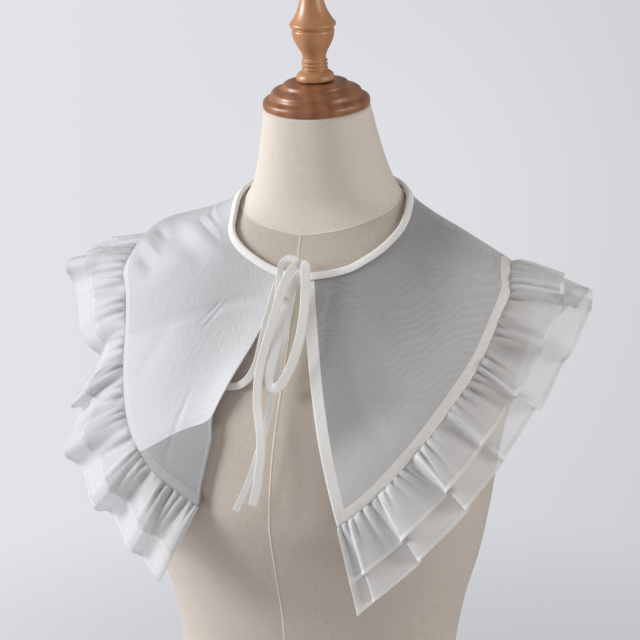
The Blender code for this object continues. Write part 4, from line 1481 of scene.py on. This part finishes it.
for name, rows in TIE_LINES_MM.items():
    line = front_point(*np.transpose(rows) * MM)
    width = TIE_WIDTHS_MM[name] * MM
    rings, across, along = strap_rings(line, width, TIE_THICKNESS, name == "loop_right")
    tie = tube("strap_" + name, rings, across, along, binding_cloth)
    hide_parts(name)

# %% [markdown]
# ## Floor, light and backdrop
# The photo has a plain pale backdrop and one broad soft light from the viewer's left. A weaker
# one fills the other side. The floor is a pale disc that fades out, so that it melts into the
# backdrop without a horizon.

# %% Floor
FLOOR_RADIUS = 1.2
FLOOR_SIDES = 96
floor_finish, tree, shader = new_material("pale_floor")
x, y, _ = solid_place(tree).parts()
far = (x * x + y * y).calc("SQRT")
speckle = solid_place(tree).noise(60.0, 3.0)
plug_all(shader, {
    "Alpha": far.eased(0.35, 1.1, 1.0, 0.0),
    "Base Color": speckle.between((0.73, 0.745, 0.785), (0.755, 0.77, 0.81)),
    "Roughness": 0.9,
    "Specular IOR Level": 0.1,
})
floor_mesh = bpy.data.meshes.new("floor")
ring = []
for a in circle(FLOOR_SIDES):
    ring.append((FLOOR_RADIUS * math.cos(a), FLOOR_RADIUS * math.sin(a), 0))
floor_mesh.from_pydata(ring, [], [tuple(range(FLOOR_SIDES))])
floor = bpy.data.objects.new("floor", floor_mesh)
floor.location.z = -0.5 * MM
bpy.context.scene.collection.objects.link(floor)
floor.data.materials.append(floor_finish)
print("floor radius in metres:", FLOOR_RADIUS)

# %% Lights and backdrop
LIGHT_SIZE = 1.2


def soft_light(name, place, aim, power, colour):
    light = bpy.data.lights.new(name, "AREA")
    light.shape = "DISK"
    light.size = LIGHT_SIZE
    light.energy = power
    light.color = colour
    lamp = bpy.data.objects.new(name, light)
    bpy.context.scene.collection.objects.link(lamp)
    lamp.location = place
    direction = np.array(place) - np.array(aim)
    flat = math.hypot(direction[0], direction[1])
    swing = math.atan2(direction[0], -direction[1])
    lamp.rotation_euler = (math.atan2(flat, direction[2]), 0, swing)


soft_light("key_light", (-2.25, -0.9, 1.3), (0, 0, 0.48), 68, (0.95, 0.97, 1.0))
soft_light("side_light", (2.0, -0.3, 0.9), (0, 0, 0.5), 17, (0.99, 0.985, 0.98))

# Where the backdrop is a little brighter: to the right along the camera's level, and up.
GLOW_SIDE = 0.055
GLOW_HEIGHT = -0.155
GLOW_STRENGTH = 0.19
# The backdrop lights the form less than it shows.
ROOM_STRENGTH = 0.42
world = bpy.data.worlds.new("pale_backdrop")
bpy.context.scene.world = world
world.use_nodes = True
tree = world.node_tree
background = tree.nodes["Background"]
seen = Value(tree, tree.nodes.new("ShaderNodeLightPath").outputs["Is Camera Ray"])
direction = Value(tree, tree.nodes.new("ShaderNodeTexCoord").outputs["Generated"])
camera_right = (math.cos(VIEW_TURN), math.sin(VIEW_TURN), 0)
sides = {0: direction, 1: camera_right}
sideways = direction.through("ShaderNodeVectorMath", sides, "operation", "DOT_PRODUCT", "Value")
backdrop = sideways.eased(-0.3, 0.3).between((0.800, 0.808, 0.850), (0.598, 0.605, 0.640))
_, _, upward = direction.parts()
beside_glow = (sideways - GLOW_SIDE).calc("ABSOLUTE").eased(0.0, 0.17, GLOW_STRENGTH, 0.0)
above_glow = (upward - GLOW_HEIGHT).calc("ABSOLUTE").eased(0.0, 0.18, 1.0, 0.0)
backdrop = (beside_glow * above_glow).between(backdrop, WHITE)
room = backdrop.tinted((1.06, 0.99, 0.91))
plug_all(background.inputs, {
    "Color": seen.between(room, backdrop),
    "Strength": seen * (1 - ROOM_STRENGTH) + ROOM_STRENGTH,
})
bpy.context.scene.view_settings.view_transform = "Standard"
bpy.context.scene.cycles.transparent_max_bounces = 40
